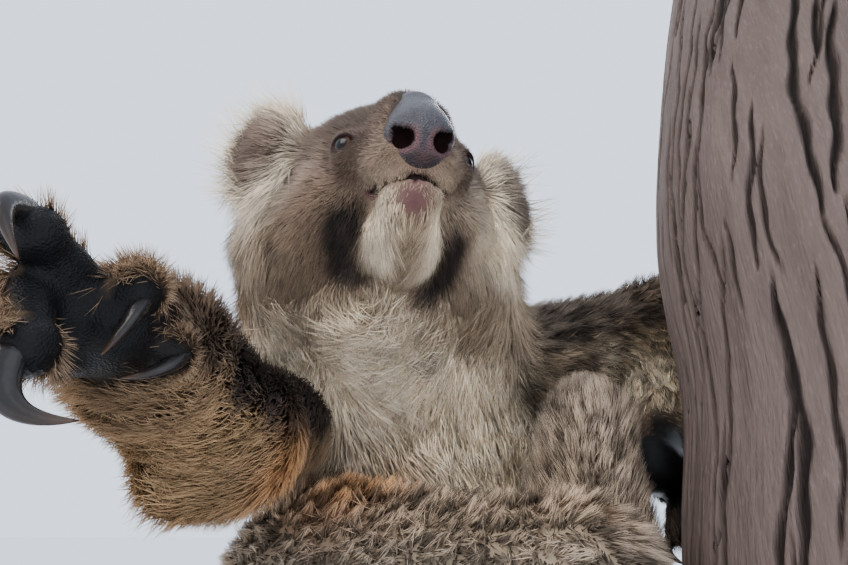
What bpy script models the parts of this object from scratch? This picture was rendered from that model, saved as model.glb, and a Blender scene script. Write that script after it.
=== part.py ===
# A koala holding a cut length of gum-tree trunk, on a plain display stand.
# Metres, +Z up. The koala faces -Y and its left side is at +X. The origin is the middle of
# the base's underside. The flesh solids reach out to the tips of the coat.

import math

import bmesh
import bpy
import numpy as np
from mathutils import Matrix, Vector

GAP = 0.0003  # between the two sides of a cut
SWELL = 0.0005  # how far a cutting copy of a piece stands proud of it
CUTTER_SIZE = 2.0

# --- the stand and the perch ----------------------------------------------------------------
BASE_SIZE = (0.62, 0.50, 0.025)
BASE_CORNER = 0.03
PERCH_PLACE = (0.179, -0.115)  # the middle of the trunk at its foot
PERCH_RADIUS = 0.110
PERCH_BOTTOM = 0.070
PERCH_TOP = 0.800
PERCH_SIDES = 24
PERCH_RINGS = 12
PERCH_LEAN_FROM = 0.30  # the trunk is upright below this height
PERCH_SWAY = (0.016, 0.375, 0.080)  # how far it bows away, at what height, over what height
PERCH_ROD_RADIUS = 0.030
BODY_ROD_PLACE = (-0.085, 0.045)
BODY_ROD_RADIUS = 0.011
BODY_ROD_TOP = 0.1265
ROD_SIDES = 24

# --- the head -------------------------------------------------------------------------------
HEAD = Vector((-0.104, -0.128, 0.511))  # middle of the skull
HEAD_YAW = math.radians(15)  # towards the koala's left
HEAD_PITCH = math.radians(6)  # nose up
EYE_PLACE = (0.036, 0.047, 0.001)  # outwards, forwards and up from HEAD
EYE_RADIUS = 0.0085
EAR_PLACES = {-1: (0.078, -0.008, 0.031), 1: (0.084, -0.010, 0.018)}  # right, left
EAR_RADII = (0.038, 0.021, 0.044)  # half width, thickness and height
EAR_TURN = math.radians(35)

# --- the joints -----------------------------------------------------------------------------
SHOULDER_RIGHT = (-0.180, 0.018, 0.385)
ELBOW_RIGHT = (-0.200, -0.128, 0.353)
WRIST_RIGHT = (-0.198, -0.244, 0.371)
SHOULDER_LEFT = (0.006, 0.012, 0.434)
ELBOW_LEFT = (0.135, 0.030, 0.474)
WRIST_LEFT = (0.112, 0.010, 0.378)
NECK_ROOT = (-0.100, 0.018, 0.432)
RUFF_RIGHT = (-0.182, -0.020, 0.420)  # the ruff runs across the throat
RUFF_LEFT = (-0.034, -0.010, 0.440)
HIP_RIGHT = (-0.132, -0.045, 0.252)
KNEE_RIGHT = (0.004, -0.128, 0.274)
ANKLE_RIGHT = (0.062, -0.180, 0.150)
HIP_LEFT = (0.008, 0.030, 0.240)
KNEE_LEFT = (0.036, -0.062, 0.367)
ANKLE_LEFT = (0.072, -0.030, 0.200)
RUMP_TOP = 0.262  # heights at which the torso is parted
BELLY_TOP = 0.345

koala = bpy.data.collections.new("koala")
cutters = bpy.data.collections.new("cutters")


def clear_scene():
    for obj in list(bpy.data.objects):
        bpy.data.objects.remove(obj)
    for collection in (koala, cutters):
        bpy.context.scene.collection.children.link(collection)


def make_material(name, colour, roughness, metallic=0.0):
    material = bpy.data.materials.new(name)
    material.use_nodes = True
    shader = material.node_tree.nodes["Principled BSDF"]
    shader.inputs["Base Color"].default_value = (*colour, 1.0)
    shader.inputs["Roughness"].default_value = roughness
    shader.inputs["Metallic"].default_value = metallic
    material.diffuse_color = (*colour, 1.0)
    return material


def add_object(name, bm, material=None):
    mesh = bpy.data.meshes.new(name)
    bm.to_mesh(mesh)
    bm.free()
    obj = bpy.data.objects.new(name, mesh)
    koala.objects.link(obj)
    if material:
        mesh.materials.append(material)
    return obj


def apply_modifiers(obj):
    graph = bpy.context.evaluated_depsgraph_get()
    mesh = bpy.data.meshes.new_from_object(obj.evaluated_get(graph))
    obj.modifiers.clear()
    obj.data = mesh


# --- soft forms -----------------------------------------------------------------------------
# Flesh is described by cones with round ends and by eggs, blended where they meet.


def cone(start, end, start_radius, end_radius):
    return {"start": np.array(start), "end": np.array(end), "radii": (start_radius, end_radius)}


def egg(middle, radii, turn=None):
    turn = np.array(turn if turn is not None else Matrix.Identity(3))
    return {"middle": np.array(middle), "radii": np.array(radii), "turn": turn}


def distance(points, shape):
    if "turn" in shape:
        local = (points - shape["middle"]) @ shape["turn"]
        near = np.linalg.norm(local / shape["radii"], axis=1)
        steep = np.linalg.norm(local / shape["radii"] ** 2, axis=1)
        return near * (near - 1.0) / np.maximum(steep, 1e-9)
    along = shape["end"] - shape["start"]
    reach = np.clip((points - shape["start"]) @ along / (along @ along), 0.0, 1.0)
    radius = shape["radii"][0] + (shape["radii"][1] - shape["radii"][0]) * reach
    return np.linalg.norm(points - shape["start"] - reach[:, None] * along, axis=1) - radius


def field(points, shapes, blend):
    total = distance(points, shapes[0])
    for shape in shapes[1:]:
        other = distance(points, shape)
        overlap = np.maximum(blend - np.abs(total - other), 0.0) / blend
        total = np.minimum(total, other) - overlap**2 * blend / 4.0
    return total


def slope(points, shapes, blend):
    sides = []
    for step in np.eye(3) * 0.0005:
        sides.append(field(points + step, shapes, blend) - field(points - step, shapes, blend))
    normals = np.stack(sides, axis=1)
    return normals / np.maximum(np.linalg.norm(normals, axis=1, keepdims=True), 1e-12)


def add_ball(bm, middle, radii, turn):
    matrix = Matrix.Translation(Vector(middle)) @ turn.to_4x4() @ Matrix.Diagonal((*radii, 1.0))
    bmesh.ops.create_icosphere(bm, subdivisions=3, radius=1.0, matrix=matrix)


def settle(mesh, shapes, blend):
    """Moves the vertices onto the blended surface and keeps them evenly spread."""
    count = len(mesh.vertices)
    points = np.empty(count * 3)
    mesh.vertices.foreach_get("co", points)
    points = points.reshape(-1, 3)
    ends = np.empty(len(mesh.edges) * 2, dtype=int)
    mesh.edges.foreach_get("vertices", ends)
    ends = ends.reshape(-1, 2)
    degree = np.bincount(ends.ravel(), minlength=count)[:, None]
    for _ in range(5):
        total = np.zeros_like(points)
        np.add.at(total, ends[:, 0], points[ends[:, 1]])
        np.add.at(total, ends[:, 1], points[ends[:, 0]])
        points = (points + total / degree) / 2.0
        for _ in range(2):
            away = np.clip(field(points, shapes, blend), -0.01, 0.01)
            points = points - slope(points, shapes, blend) * away[:, None]
    mesh.vertices.foreach_set("co", points.ravel())
    mesh.update()


def sculpt(name, shapes, blend, voxel, triangles, material):
    """One closed body along the blended surface of the shapes, of about so many triangles."""
    bm = bmesh.new()
    for shape in shapes:
        if "turn" in shape:
            add_ball(bm, shape["middle"], shape["radii"], Matrix(shape["turn"].tolist()))
            continue
        length = np.linalg.norm(shape["end"] - shape["start"])
        count = 2 + int(length / (0.5 * min(shape["radii"])))
        for t in np.linspace(0.0, 1.0, count):
            radius = shape["radii"][0] * (1 - t) + shape["radii"][1] * t
            add_ball(bm, shape["start"] * (1 - t) + shape["end"] * t, (radius,) * 3, Matrix.Identity(3))
    obj = add_object(name, bm)
    remesh = obj.modifiers.new("one body", "REMESH")
    remesh.mode = "VOXEL"
    remesh.voxel_size = voxel
    apply_modifiers(obj)
    settle(obj.data, shapes, blend)
    obj.data.calc_loop_triangles()
    thin = obj.modifiers.new("fewer faces", "DECIMATE")
    thin.ratio = min(1.0, triangles / len(obj.data.loop_triangles))
    thin.use_collapse_triangulate = True
    apply_modifiers(obj)
    obj.data.materials.clear()
    obj.data.materials.append(material)
    return obj


def horn(name, start, bend, tip, radius, material, sides=5, rings=4):
    """A claw: a tapering body along a bent path, a little deeper than it is wide."""
    start, bend, tip = Vector(start), Vector(bend), Vector(tip)
    across = (bend - start).cross(tip - bend).normalized()
    bm = bmesh.new()
    loops = []
    for k in range(rings):
        t = k / rings
        middle = start * (1 - t) ** 2 + bend * (2 * t * (1 - t)) + tip * t**2
        along = ((bend - start) * (1 - t) + (tip - bend) * t).normalized()
        over = across.cross(along)
        size = radius * (1 - t) ** 0.7
        loop = []
        for side in range(sides):
            angle = math.tau * side / sides
            offset = over * (math.cos(angle) * size) + across * (math.sin(angle) * size * 0.75)
            loop.append(bm.verts.new(middle + offset))
        loops.append(loop)
    point = bm.verts.new(tip)
    for low, high in zip(loops, loops[1:]):
        for side in range(sides):
            after = (side + 1) % sides
            bm.faces.new((low[side], low[after], high[after], high[side]))
    for side in range(sides):
        bm.faces.new((loops[-1][side], loops[-1][(side + 1) % sides], point))
    bm.faces.new(reversed(loops[0]))
    bmesh.ops.recalc_face_normals(bm, faces=bm.faces)
    return add_object(name, bm, material)


# --- cutting --------------------------------------------------------------------------------


def add_cutter(name, bm):
    cutter = add_object(name, bm)
    koala.objects.unlink(cutter)
    cutters.objects.link(cutter)
    cutter.hide_render = True
    cutter.display_type = "WIRE"
    return cutter


def swollen(obj, extra=SWELL):
    """A cutter that stands proud of a piece all round."""
    bm = bmesh.new()
    bm.from_mesh(obj.data)
    bm.normal_update()
    for vert in bm.verts:
        vert.co += vert.normal * extra
    return add_cutter(obj.name + "_cutter", bm)


def box_of(obj):
    points = np.array([vert.co for vert in obj.data.vertices])
    return points.min(axis=0), points.max(axis=0)


def take_away(obj, cutter_list):
    """Cuts a piece back from its neighbours and drops any loose crumbs."""
    for cutter in cutter_list:
        low, high = box_of(obj)
        cutter_low, cutter_high = box_of(cutter)
        if np.any(cutter_low > high) or np.any(cutter_high < low):
            continue
        boolean = obj.modifiers.new("cut", "BOOLEAN")
        boolean.operation = "DIFFERENCE"
        boolean.solver = "EXACT"
        boolean.object = cutter
        apply_modifiers(obj)
    bm = bmesh.new()
    bm.from_mesh(obj.data)
    groups = sorted(islands(bm), key=len)
    for group in groups[:-1]:
        bmesh.ops.delete(bm, geom=group, context="VERTS")
    bmesh.ops.triangulate(bm, faces=bm.faces)
    bm.to_mesh(obj.data)
    bm.free()


def islands(bm):
    groups = []
    seen = set()
    for first in bm.verts:
        if first in seen:
            continue
        seen.add(first)
        group = []
        queue = [first]
        while queue:
            vert = queue.pop()
            group.append(vert)
            others = [edge.other_vert(vert) for edge in vert.link_edges]
            fresh = [other for other in others if other not in seen]
            seen.update(fresh)
            queue.extend(fresh)
        groups.append(group)
    return groups


def half_space(point, normal):
    """A cutter for all that lies on the side of a plane that its normal points to."""
    normal = Vector(normal).normalized()
    turn = normal.to_track_quat("Z", "Y").to_matrix().to_4x4()
    middle = Vector(point) + normal * (CUTTER_SIZE / 2 - GAP / 2)
    bm = bmesh.new()
    bmesh.ops.create_cube(bm, size=CUTTER_SIZE, matrix=Matrix.Translation(middle) @ turn)
    return add_cutter("half_space", bm)


def part_in_two(obj, point, normal, far_name, near_name):
    """Parts a body across a plane. The far piece lies on the side that the normal points to."""
    pieces = []
    for name, sign in ((far_name, -1), (near_name, 1)):
        piece = obj.copy()
        piece.data = obj.data.copy()
        piece.name = name
        koala.objects.link(piece)
        take_away(piece, [half_space(point, Vector(normal) * sign)])
        pieces.append(piece)
    bpy.data.objects.remove(obj)
    return pieces


# --- the head -------------------------------------------------------------------------------
FORWARD = Vector(
    (
        math.sin(HEAD_YAW) * math.cos(HEAD_PITCH),
        -math.cos(HEAD_YAW) * math.cos(HEAD_PITCH),
        math.sin(HEAD_PITCH),
    )
)
LEFT = Vector((math.cos(HEAD_YAW), math.sin(HEAD_YAW), 0.0))
UP = LEFT.cross(-FORWARD)
HEAD_TURN = Matrix((LEFT, -FORWARD, UP)).transposed()


def head_point(left, forward, up):
    return HEAD + LEFT * left + FORWARD * forward + UP * up


def head_egg(left, forward, up, radii, turn=None):
    return egg(head_point(left, forward, up), radii, HEAD_TURN @ (turn or Matrix.Identity(3)))


def head_shapes():
    shapes = [
        head_egg(0.0, -0.018, 0.016, (0.074, 0.068, 0.060)),
        cone(head_point(0, 0.008, 0.018), head_point(0.002, 0.050, 0.016), 0.050, 0.031),
        head_egg(0.002, 0.046, -0.008, (0.030, 0.027, 0.022)),
        head_egg(0.0, -0.036, -0.028, (0.095, 0.054, 0.052)),
        cone(head_point(0, -0.042, -0.036), NECK_ROOT, 0.068, 0.080),
        cone(RUFF_RIGHT, RUFF_LEFT, 0.042, 0.040),
        cone(head_point(-0.062, -0.030, -0.022), RUFF_RIGHT, 0.036, 0.042),
        cone(head_point(0.066, -0.030, -0.025), RUFF_LEFT, 0.032, 0.040),
    ]
    for side in (-1, 1):
        shapes.append(head_egg(side * 0.038, -0.004, -0.018, (0.036, 0.045, 0.040)))
    return shapes


def jaw_shapes():
    return [
        cone(head_point(0.003, 0.050, -0.029), head_point(0.003, 0.022, -0.041), 0.0195, 0.0275),
        cone(head_point(0.003, 0.022, -0.041), head_point(0.003, -0.008, -0.048), 0.0275, 0.025),
    ]


def nose_shapes():
    return [
        cone(head_point(0.003, 0.062, 0.020), head_point(0.003, 0.070, -0.004), 0.0165, 0.0185),
        cone(head_point(0.003, 0.070, -0.004), head_point(0.003, 0.066, -0.014), 0.0185, 0.0125),
    ]


def build_eye(name, side, material):
    bm = bmesh.new()
    bmesh.ops.create_uvsphere(bm, u_segments=10, v_segments=6, radius=EYE_RADIUS)
    place = Matrix.Translation(head_point(side * EYE_PLACE[0], EYE_PLACE[1], EYE_PLACE[2]))
    bmesh.ops.transform(bm, matrix=place, verts=bm.verts)
    return add_object(name, bm, material)


def build_ear(name, side, material):
    turn = Matrix.Rotation(side * EAR_TURN, 3, "Z")
    out, forward, up = EAR_PLACES[side]
    middle = (side * out, forward, up)
    shapes = [head_egg(*middle, EAR_RADII, turn)]
    root = head_point(side * out * 0.75, forward - 0.008, up - 0.008)
    shapes.append(cone(root, head_point(*middle), 0.034, 0.024))
    ear = sculpt(name, shapes, blend=0.012, voxel=0.004, triangles=200, material=material)
    take_away(ear, [half_space(head_point(side * out * 0.78, 0, 0), LEFT * -side)])
    return ear


# --- hands and feet -------------------------------------------------------------------------
# The right hand is held out with its palm forwards. Each digit has a knuckle, a middle joint,
# a tip, and the bend and tip of its claw.
RIGHT_DIGITS = {
    "1": ((-0.194, -0.272, 0.382), (-0.188, -0.284, 0.386), (-0.183, -0.294, 0.380)),
    "2": ((-0.190, -0.260, 0.361), (-0.181, -0.268, 0.365), (-0.177, -0.274, 0.363)),
    "3": ((-0.200, -0.294, 0.376), (-0.203, -0.309, 0.382), (-0.205, -0.323, 0.388)),
    "4": ((-0.205, -0.296, 0.370), (-0.209, -0.316, 0.368), (-0.197, -0.326, 0.350)),
    "5": ((-0.207, -0.288, 0.361), (-0.221, -0.305, 0.361), (-0.216, -0.320, 0.345)),
}
RIGHT_CLAWS = {
    "1": ((-0.180, -0.297, 0.374), (-0.178, -0.306, 0.363), (-0.186, -0.305, 0.353)),
    "2": ((-0.172, -0.276, 0.361), (-0.171, -0.288, 0.351), (-0.186, -0.290, 0.349)),
    "3": ((-0.206, -0.328, 0.393), (-0.207, -0.347, 0.393), (-0.197, -0.338, 0.372)),
    "4": ((-0.197, -0.333, 0.347), (-0.196, -0.339, 0.325), (-0.175, -0.329, 0.328)),
    "5": ((-0.215, -0.325, 0.341), (-0.214, -0.330, 0.322), (-0.202, -0.321, 0.316)),
}
DIGIT_RADIUS = 0.0105
CLAW_RADIUS = 0.0050
LARGE_CLAW_RADIUS = 0.0058  # on the free hand's three fingers


def right_hand_shapes():
    palm = (-0.196, -0.281, 0.371)
    forearm = (Vector(WRIST_RIGHT) - Vector(ELBOW_RIGHT)) * 0.1
    shapes = [cone(Vector(WRIST_RIGHT) - forearm, palm, 0.030, 0.022)]
    for knuckle, middle, tip in RIGHT_DIGITS.values():
        shapes.append(cone(palm, knuckle, 0.014, 0.012))
        shapes.append(cone(knuckle, middle, 0.012, 0.011))
        shapes.append(cone(middle, tip, 0.011, DIGIT_RADIUS))
    return shapes


def perch_middle(height):
    lean = max(height - PERCH_LEAN_FROM, 0.0)
    away, middle, spread = PERCH_SWAY
    sway = away * math.exp(-(((height - middle) / spread) ** 2))
    across = PERCH_PLACE[0] + 0.30 * lean**1.7 + sway
    return Vector((across, PERCH_PLACE[1] + 0.04 * lean, height))


def perch_radius(angle, height):
    waver = 0.030 * math.sin(2 * angle + 0.6) + 0.020 * math.sin(3 * angle + 5 * height)
    return PERCH_RADIUS * (1.0 + waver)


def on_perch(degrees, height, out):
    """A place so far out from the bark, at an angle round the trunk and a height."""
    angle = math.radians(degrees)
    radius = perch_radius(angle, height) + out
    return perch_middle(height) + Vector((math.cos(angle), math.sin(angle), 0)) * radius


# Each paw on the trunk: where its sole starts and ends, as angles and heights, and for each
# digit how far it reaches round the trunk and up it from the sole's end.
PAWS = {
    "hand_left": {
        "wrist": WRIST_LEFT,
        "wrist_radius": 0.026,
        "sole": ((149, 0.343), (131, 0.338)),
        "sole_radii": (0.021, 0.020),
        "digits": {"1": (6, -0.040), "2": (-10, -0.046), "3": (-36, -0.022), "4": (-42, 0.002),
                   "5": (-36, 0.026)},
        "digit_radius": 0.0100,
        "bare": (),
    },
    "foot_left": {
        "wrist": ANKLE_LEFT,
        "wrist_radius": 0.036,
        "sole": ((150, 0.165), (140, 0.205)),
        "sole_radii": (0.024, 0.022),
        "digits": {"0": (24, 0.022), "1": (-30, 0.034), "2": (-34, 0.024), "3": (-40, 0.004),
                   "4": (-36, -0.020)},
        "digit_radius": 0.0105,
        "bare": ("0",),
    },
    "foot_right": {
        "wrist": ANKLE_RIGHT,
        "wrist_radius": 0.031,
        "sole": ((205, 0.118), (216, 0.158)),
        "sole_radii": (0.024, 0.022),
        "digits": {"0": (-24, 0.022), "1": (30, 0.034), "2": (34, 0.024), "3": (40, 0.004),
                   "4": (36, -0.020)},
        "digit_radius": 0.0105,
        "bare": ("0",),
    },
}


def paw_path(paw, digit, share, out):
    angle, height = paw["sole"][1]
    turn, rise = paw["digits"][digit]
    return on_perch(angle + turn * share, height + rise * share, out)


def paw_shapes(paw):
    heel = on_perch(*paw["sole"][0], paw["sole_radii"][0])
    ball = on_perch(*paw["sole"][1], paw["sole_radii"][1])
    shapes = [
        cone(paw["wrist"], heel, paw["wrist_radius"], paw["sole_radii"][0]),
        cone(heel, ball, *paw["sole_radii"]),
    ]
    thick = paw["digit_radius"]
    for digit in paw["digits"]:
        path = [paw_path(paw, digit, share, thick * 0.9) for share in (0.3, 0.65, 1.0)]
        shapes.append(cone(ball, path[0], thick * 1.5, thick * 1.2))
        shapes.append(cone(path[0], path[1], thick * 1.2, thick * 1.1))
        shapes.append(cone(path[1], path[2], thick * 1.1, thick))
    return shapes


def paw_claws(name, paw, material):
    claws = []
    for digit in paw["digits"]:
        if digit in paw["bare"]:
            continue
        start = paw_path(paw, digit, 1.04, 0.012)
        bend = paw_path(paw, digit, 1.34, 0.022)
        tip = paw_path(paw, digit, 1.50, 0.002)
        claws.append(horn(f"{name}_claw_{digit}", start, bend, tip, CLAW_RADIUS, material))
    return claws


# --- limbs and trunk ------------------------------------------------------------------------


def arm_right_shapes():
    return [
        cone(SHOULDER_RIGHT, ELBOW_RIGHT, 0.055, 0.042),
        cone(ELBOW_RIGHT, WRIST_RIGHT, 0.043, 0.028),
        cone(ELBOW_RIGHT, (-0.209, -0.160, 0.325), 0.040, 0.024),
    ]


def arm_left_shapes():
    return [
        cone(SHOULDER_LEFT, ELBOW_LEFT, 0.052, 0.042),
        cone(ELBOW_LEFT, WRIST_LEFT, 0.040, 0.026),
        cone(ELBOW_LEFT, (0.100, 0.025, 0.405), 0.036, 0.024),
    ]


def leg_right_shapes():
    return [
        cone(HIP_RIGHT, KNEE_RIGHT, 0.092, 0.048),
        cone(KNEE_RIGHT, ANKLE_RIGHT, 0.047, 0.030),
    ]


def leg_left_shapes():
    return [
        cone(HIP_LEFT, KNEE_LEFT, 0.060, 0.030),
        cone(KNEE_LEFT, ANKLE_LEFT, 0.031, 0.036),
    ]


def torso_shapes():
    return [
        egg((-0.090, 0.048, 0.392), (0.124, 0.100, 0.092)),
        egg((-0.078, 0.055, 0.310), (0.118, 0.098, 0.105)),
        egg((-0.090, 0.048, 0.222), (0.122, 0.106, 0.098)),
        cone((-0.165, 0.025, 0.390), (-0.010, 0.050, 0.425), 0.070, 0.066),
        egg((-0.096, 0.040, 0.432), (0.105, 0.085, 0.060)),
    ]


LIMBS = {
    "leg_right": (leg_right_shapes, {"joints": (HIP_RIGHT, KNEE_RIGHT, ANKLE_RIGHT),
                                     "far": "shin_right", "near": "thigh_right",
                                     "hand": "foot_right", "flat_root": False}),
    "leg_left": (leg_left_shapes, {"joints": (HIP_LEFT, KNEE_LEFT, ANKLE_LEFT),
                                   "far": "shin_left", "near": "thigh_left",
                                   "hand": "foot_left", "flat_root": True}),
    "arm_right": (arm_right_shapes, {"joints": (SHOULDER_RIGHT, ELBOW_RIGHT, WRIST_RIGHT),
                                     "far": "forearm_right", "near": "upper_arm_right",
                                     "hand": "hand_right", "flat_root": True}),
    "arm_left": (arm_left_shapes, {"joints": (SHOULDER_LEFT, ELBOW_LEFT, WRIST_LEFT),
                                   "far": "forearm_left", "near": "upper_arm_left",
                                   "hand": "hand_left", "flat_root": True}),
}


# --- the stand ------------------------------------------------------------------------------


def build_base(material):
    bm = bmesh.new()
    bmesh.ops.create_cube(bm, size=1.0)
    bmesh.ops.scale(bm, vec=BASE_SIZE, verts=bm.verts)
    bmesh.ops.translate(bm, vec=(0.0, 0.0, BASE_SIZE[2] / 2), verts=bm.verts)
    upright = [edge for edge in bm.edges if abs(edge.verts[0].co.z - edge.verts[1].co.z) > GAP]
    bmesh.ops.bevel(bm, geom=upright, offset=BASE_CORNER, segments=5, profile=0.5, affect="EDGES")
    return add_object("stand_base", bm, material)


def build_rod(name, place, radius, bottom, top, material):
    bm = bmesh.new()
    middle = Matrix.Translation((place[0], place[1], (bottom + top) / 2))
    bmesh.ops.create_cone(
        bm,
        cap_ends=True,
        segments=ROD_SIDES,
        radius1=radius,
        radius2=radius,
        depth=top - bottom,
        matrix=middle,
    )
    return add_object(name, bm, material)


def build_perch(material):
    bm = bmesh.new()
    rings = []
    for height in np.linspace(PERCH_BOTTOM, PERCH_TOP, PERCH_RINGS + 1):
        degrees = [360.0 * side / PERCH_SIDES for side in range(PERCH_SIDES)]
        rings.append([bm.verts.new(on_perch(angle, float(height), 0.0)) for angle in degrees])
    for low, high in zip(rings, rings[1:]):
        for side in range(PERCH_SIDES):
            after = (side + 1) % PERCH_SIDES
            bm.faces.new((low[side], low[after], high[after], high[side]))
    bm.faces.new(reversed(rings[0]))
    bm.faces.new(rings[-1])
    return add_object("perch_trunk", bm, material)


def main():
    clear_scene()
    grey = make_material("grey fur", (0.23, 0.19, 0.17), 0.9)
    cream = make_material("cream fur", (0.72, 0.66, 0.55), 0.9)
    skin = make_material("black skin", (0.03, 0.03, 0.035), 0.5)
    slate = make_material("nose leather", (0.08, 0.075, 0.085), 0.5)
    horny = make_material("claw horn", (0.02, 0.02, 0.022), 0.25)
    glossy = make_material("eye", (0.03, 0.015, 0.008), 0.05)
    wood = make_material("weathered wood", (0.30, 0.25, 0.24), 0.85)
    board = make_material("stand board", (0.12, 0.12, 0.13), 0.4)
    steel = make_material("stand steel", (0.55, 0.55, 0.56), 0.3, 1.0)

    build_base(board)
    base_top = BASE_SIZE[2] + GAP
    build_rod("stand_rod_perch", PERCH_PLACE, PERCH_ROD_RADIUS, base_top, PERCH_BOTTOM - GAP, steel)
    rod = build_rod("stand_rod_body", BODY_ROD_PLACE, BODY_ROD_RADIUS, base_top, BODY_ROD_TOP, steel)
    bark = swollen(build_perch(wood))

    eyes = [build_eye("eye_right", -1, glossy), build_eye("eye_left", 1, glossy)]
    nose = sculpt("nose", nose_shapes(), blend=0.012, voxel=0.0025, triangles=170, material=slate)
    ears = [build_ear("ear_right", -1, grey), build_ear("ear_left", 1, grey)]
    jaw = sculpt("lower_jaw", jaw_shapes(), blend=0.012, voxel=0.003, triangles=170, material=cream)
    take_away(jaw, [swollen(nose)])
    cuts = [swollen(piece) for piece in [*eyes, nose, *ears, jaw]]

    claws = []
    for digit, path in RIGHT_CLAWS.items():
        radius = CLAW_RADIUS if digit in ("1", "2") else LARGE_CLAW_RADIUS
        claws.append(horn(f"hand_right_claw_{digit}", *path, radius, horny))
    for name, paw in PAWS.items():
        claws += paw_claws(name, paw, horny)
    for claw in claws:
        take_away(claw, [bark])
    claw_cuts = [swollen(claw) for claw in claws]

    palm = right_hand_shapes()
    hand = sculpt("hand_right", palm, blend=0.006, voxel=0.0025, triangles=400, material=skin)
    hands = {"hand_right": hand}
    for name, paw in PAWS.items():
        hands[name] = sculpt(name, paw_shapes(paw), blend=0.006, voxel=0.003, triangles=300, material=skin)
    for shapes, names in LIMBS.values():
        root, joint, end = (Vector(place) for place in names["joints"])
        take_away(hands[names["hand"]], [half_space(end, joint - end), bark, *claw_cuts])
    cuts += [swollen(hand) for hand in hands.values()]

    head = sculpt("head_and_neck", head_shapes(), blend=0.022, voxel=0.006, triangles=640, material=grey)
    take_away(head, [*cuts, bark, half_space(NECK_ROOT, Vector(NECK_ROOT) - HEAD)])
    cuts += [swollen(head), swollen(head, 0.0)]  # the second for its sharpest edges
    part_in_two(head, head_point(0.0, -0.058, -0.070), FORWARD * 0.8 + UP * 0.6, "head", "neck")

    for limb_name, (shapes, names) in LIMBS.items():
        root, joint, end = (Vector(place) for place in names["joints"])
        limb = sculpt(limb_name, shapes(), blend=0.028, voxel=0.005, triangles=270, material=grey)
        trims = [half_space(end, end - joint)]
        if names["flat_root"]:
            trims.append(half_space(root, root - joint))
        take_away(limb, [*trims, bark, *cuts])
        cuts.append(swollen(limb))
        across = (end - joint).normalized() + (joint - root).normalized()
        part_in_two(limb, joint, across, names["far"], names["near"])

    torso = sculpt("torso", torso_shapes(), blend=0.030, voxel=0.007, triangles=480, material=cream)
    take_away(torso, cuts + [swollen(rod), bark])
    upper = part_in_two(torso, (0, 0, RUMP_TOP), (0, 0, 1), "upper", "rump")[0]
    part_in_two(upper, (0, 0, BELLY_TOP), (0, 0, 1), "chest", "belly")


main()
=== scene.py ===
import math

import bmesh
import bpy
import numpy as np
from mathutils import Matrix, Vector, kdtree


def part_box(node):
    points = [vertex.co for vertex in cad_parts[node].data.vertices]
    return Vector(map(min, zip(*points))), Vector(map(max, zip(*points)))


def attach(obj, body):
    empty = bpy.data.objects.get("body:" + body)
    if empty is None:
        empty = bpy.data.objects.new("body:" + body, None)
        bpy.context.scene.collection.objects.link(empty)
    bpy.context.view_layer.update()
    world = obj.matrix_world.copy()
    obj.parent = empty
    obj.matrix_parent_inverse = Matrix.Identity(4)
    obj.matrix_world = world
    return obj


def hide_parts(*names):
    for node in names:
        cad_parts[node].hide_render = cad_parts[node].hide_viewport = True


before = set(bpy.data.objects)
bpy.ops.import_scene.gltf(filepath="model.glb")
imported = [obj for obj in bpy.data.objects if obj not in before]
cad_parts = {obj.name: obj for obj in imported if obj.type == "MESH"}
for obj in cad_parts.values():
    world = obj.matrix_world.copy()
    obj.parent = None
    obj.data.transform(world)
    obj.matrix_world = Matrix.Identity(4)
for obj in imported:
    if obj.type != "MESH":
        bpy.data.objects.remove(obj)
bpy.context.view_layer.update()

# A koala holding a cut length of trunk, on a display stand. It faces -Y, its left is +X.

draw = np.random.default_rng(11)

# the joints, where the solids have them
joints = {
    "head": (-0.104, -0.128, 0.511),
    "neckRoot": (-0.100, 0.018, 0.432),
    "ruff": ((-0.182, -0.020, 0.420), (-0.034, -0.010, 0.440)),
    "armRight": ((-0.180, 0.018, 0.385), (-0.200, -0.128, 0.353), (-0.198, -0.244, 0.371)),
    "armLeft": ((0.006, 0.012, 0.434), (0.135, 0.030, 0.474), (0.112, 0.010, 0.378)),
    "legRight": ((-0.132, -0.045, 0.252), (0.004, -0.128, 0.274), (0.062, -0.180, 0.150)),
    "legLeft": ((0.008, 0.030, 0.240), (0.036, -0.062, 0.367), (0.072, -0.030, 0.200)),
}
headTurn = {"yaw": math.radians(15), "pitch": math.radians(6)}
forward = Vector((math.sin(headTurn["yaw"]) * math.cos(headTurn["pitch"]),
                  -math.cos(headTurn["yaw"]) * math.cos(headTurn["pitch"]),
                  math.sin(headTurn["pitch"])))
left = Vector((math.cos(headTurn["yaw"]), math.sin(headTurn["yaw"]), 0.0))
up = left.cross(-forward)
headAxes = np.array(Matrix((left, -forward, up)).transposed())


def headPoint(l, f, u):
    return np.array(Vector(joints["head"]) + left * l + forward * f + up * u)


def inHead(points):  # left, forward and up of the head's own middle
    return (points - np.array(joints["head"])) @ headAxes * (1.0, -1.0, 1.0)


# soft forms: cones with round ends and eggs, blended where they meet

def cone(start, end, startRadius, endRadius, depth=0.0):
    return {"a": np.array(start, float), "b": np.array(end, float),
            "r": (startRadius - depth, endRadius - depth)}


def egg(middle, radii, depth=0.0, turn=None):
    turn = np.eye(3) if turn is None else np.array(turn)
    return {"c": np.array(middle, float), "r": np.array(radii, float) - depth, "turn": turn}


def headEgg(l, f, u, radii, depth=0.0, turn=None):
    return egg(headPoint(l, f, u), radii, depth, headAxes if turn is None else headAxes @ turn)


def headCone(one, other, *radii):
    return cone(headPoint(*one), headPoint(*other), *radii)


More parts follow.
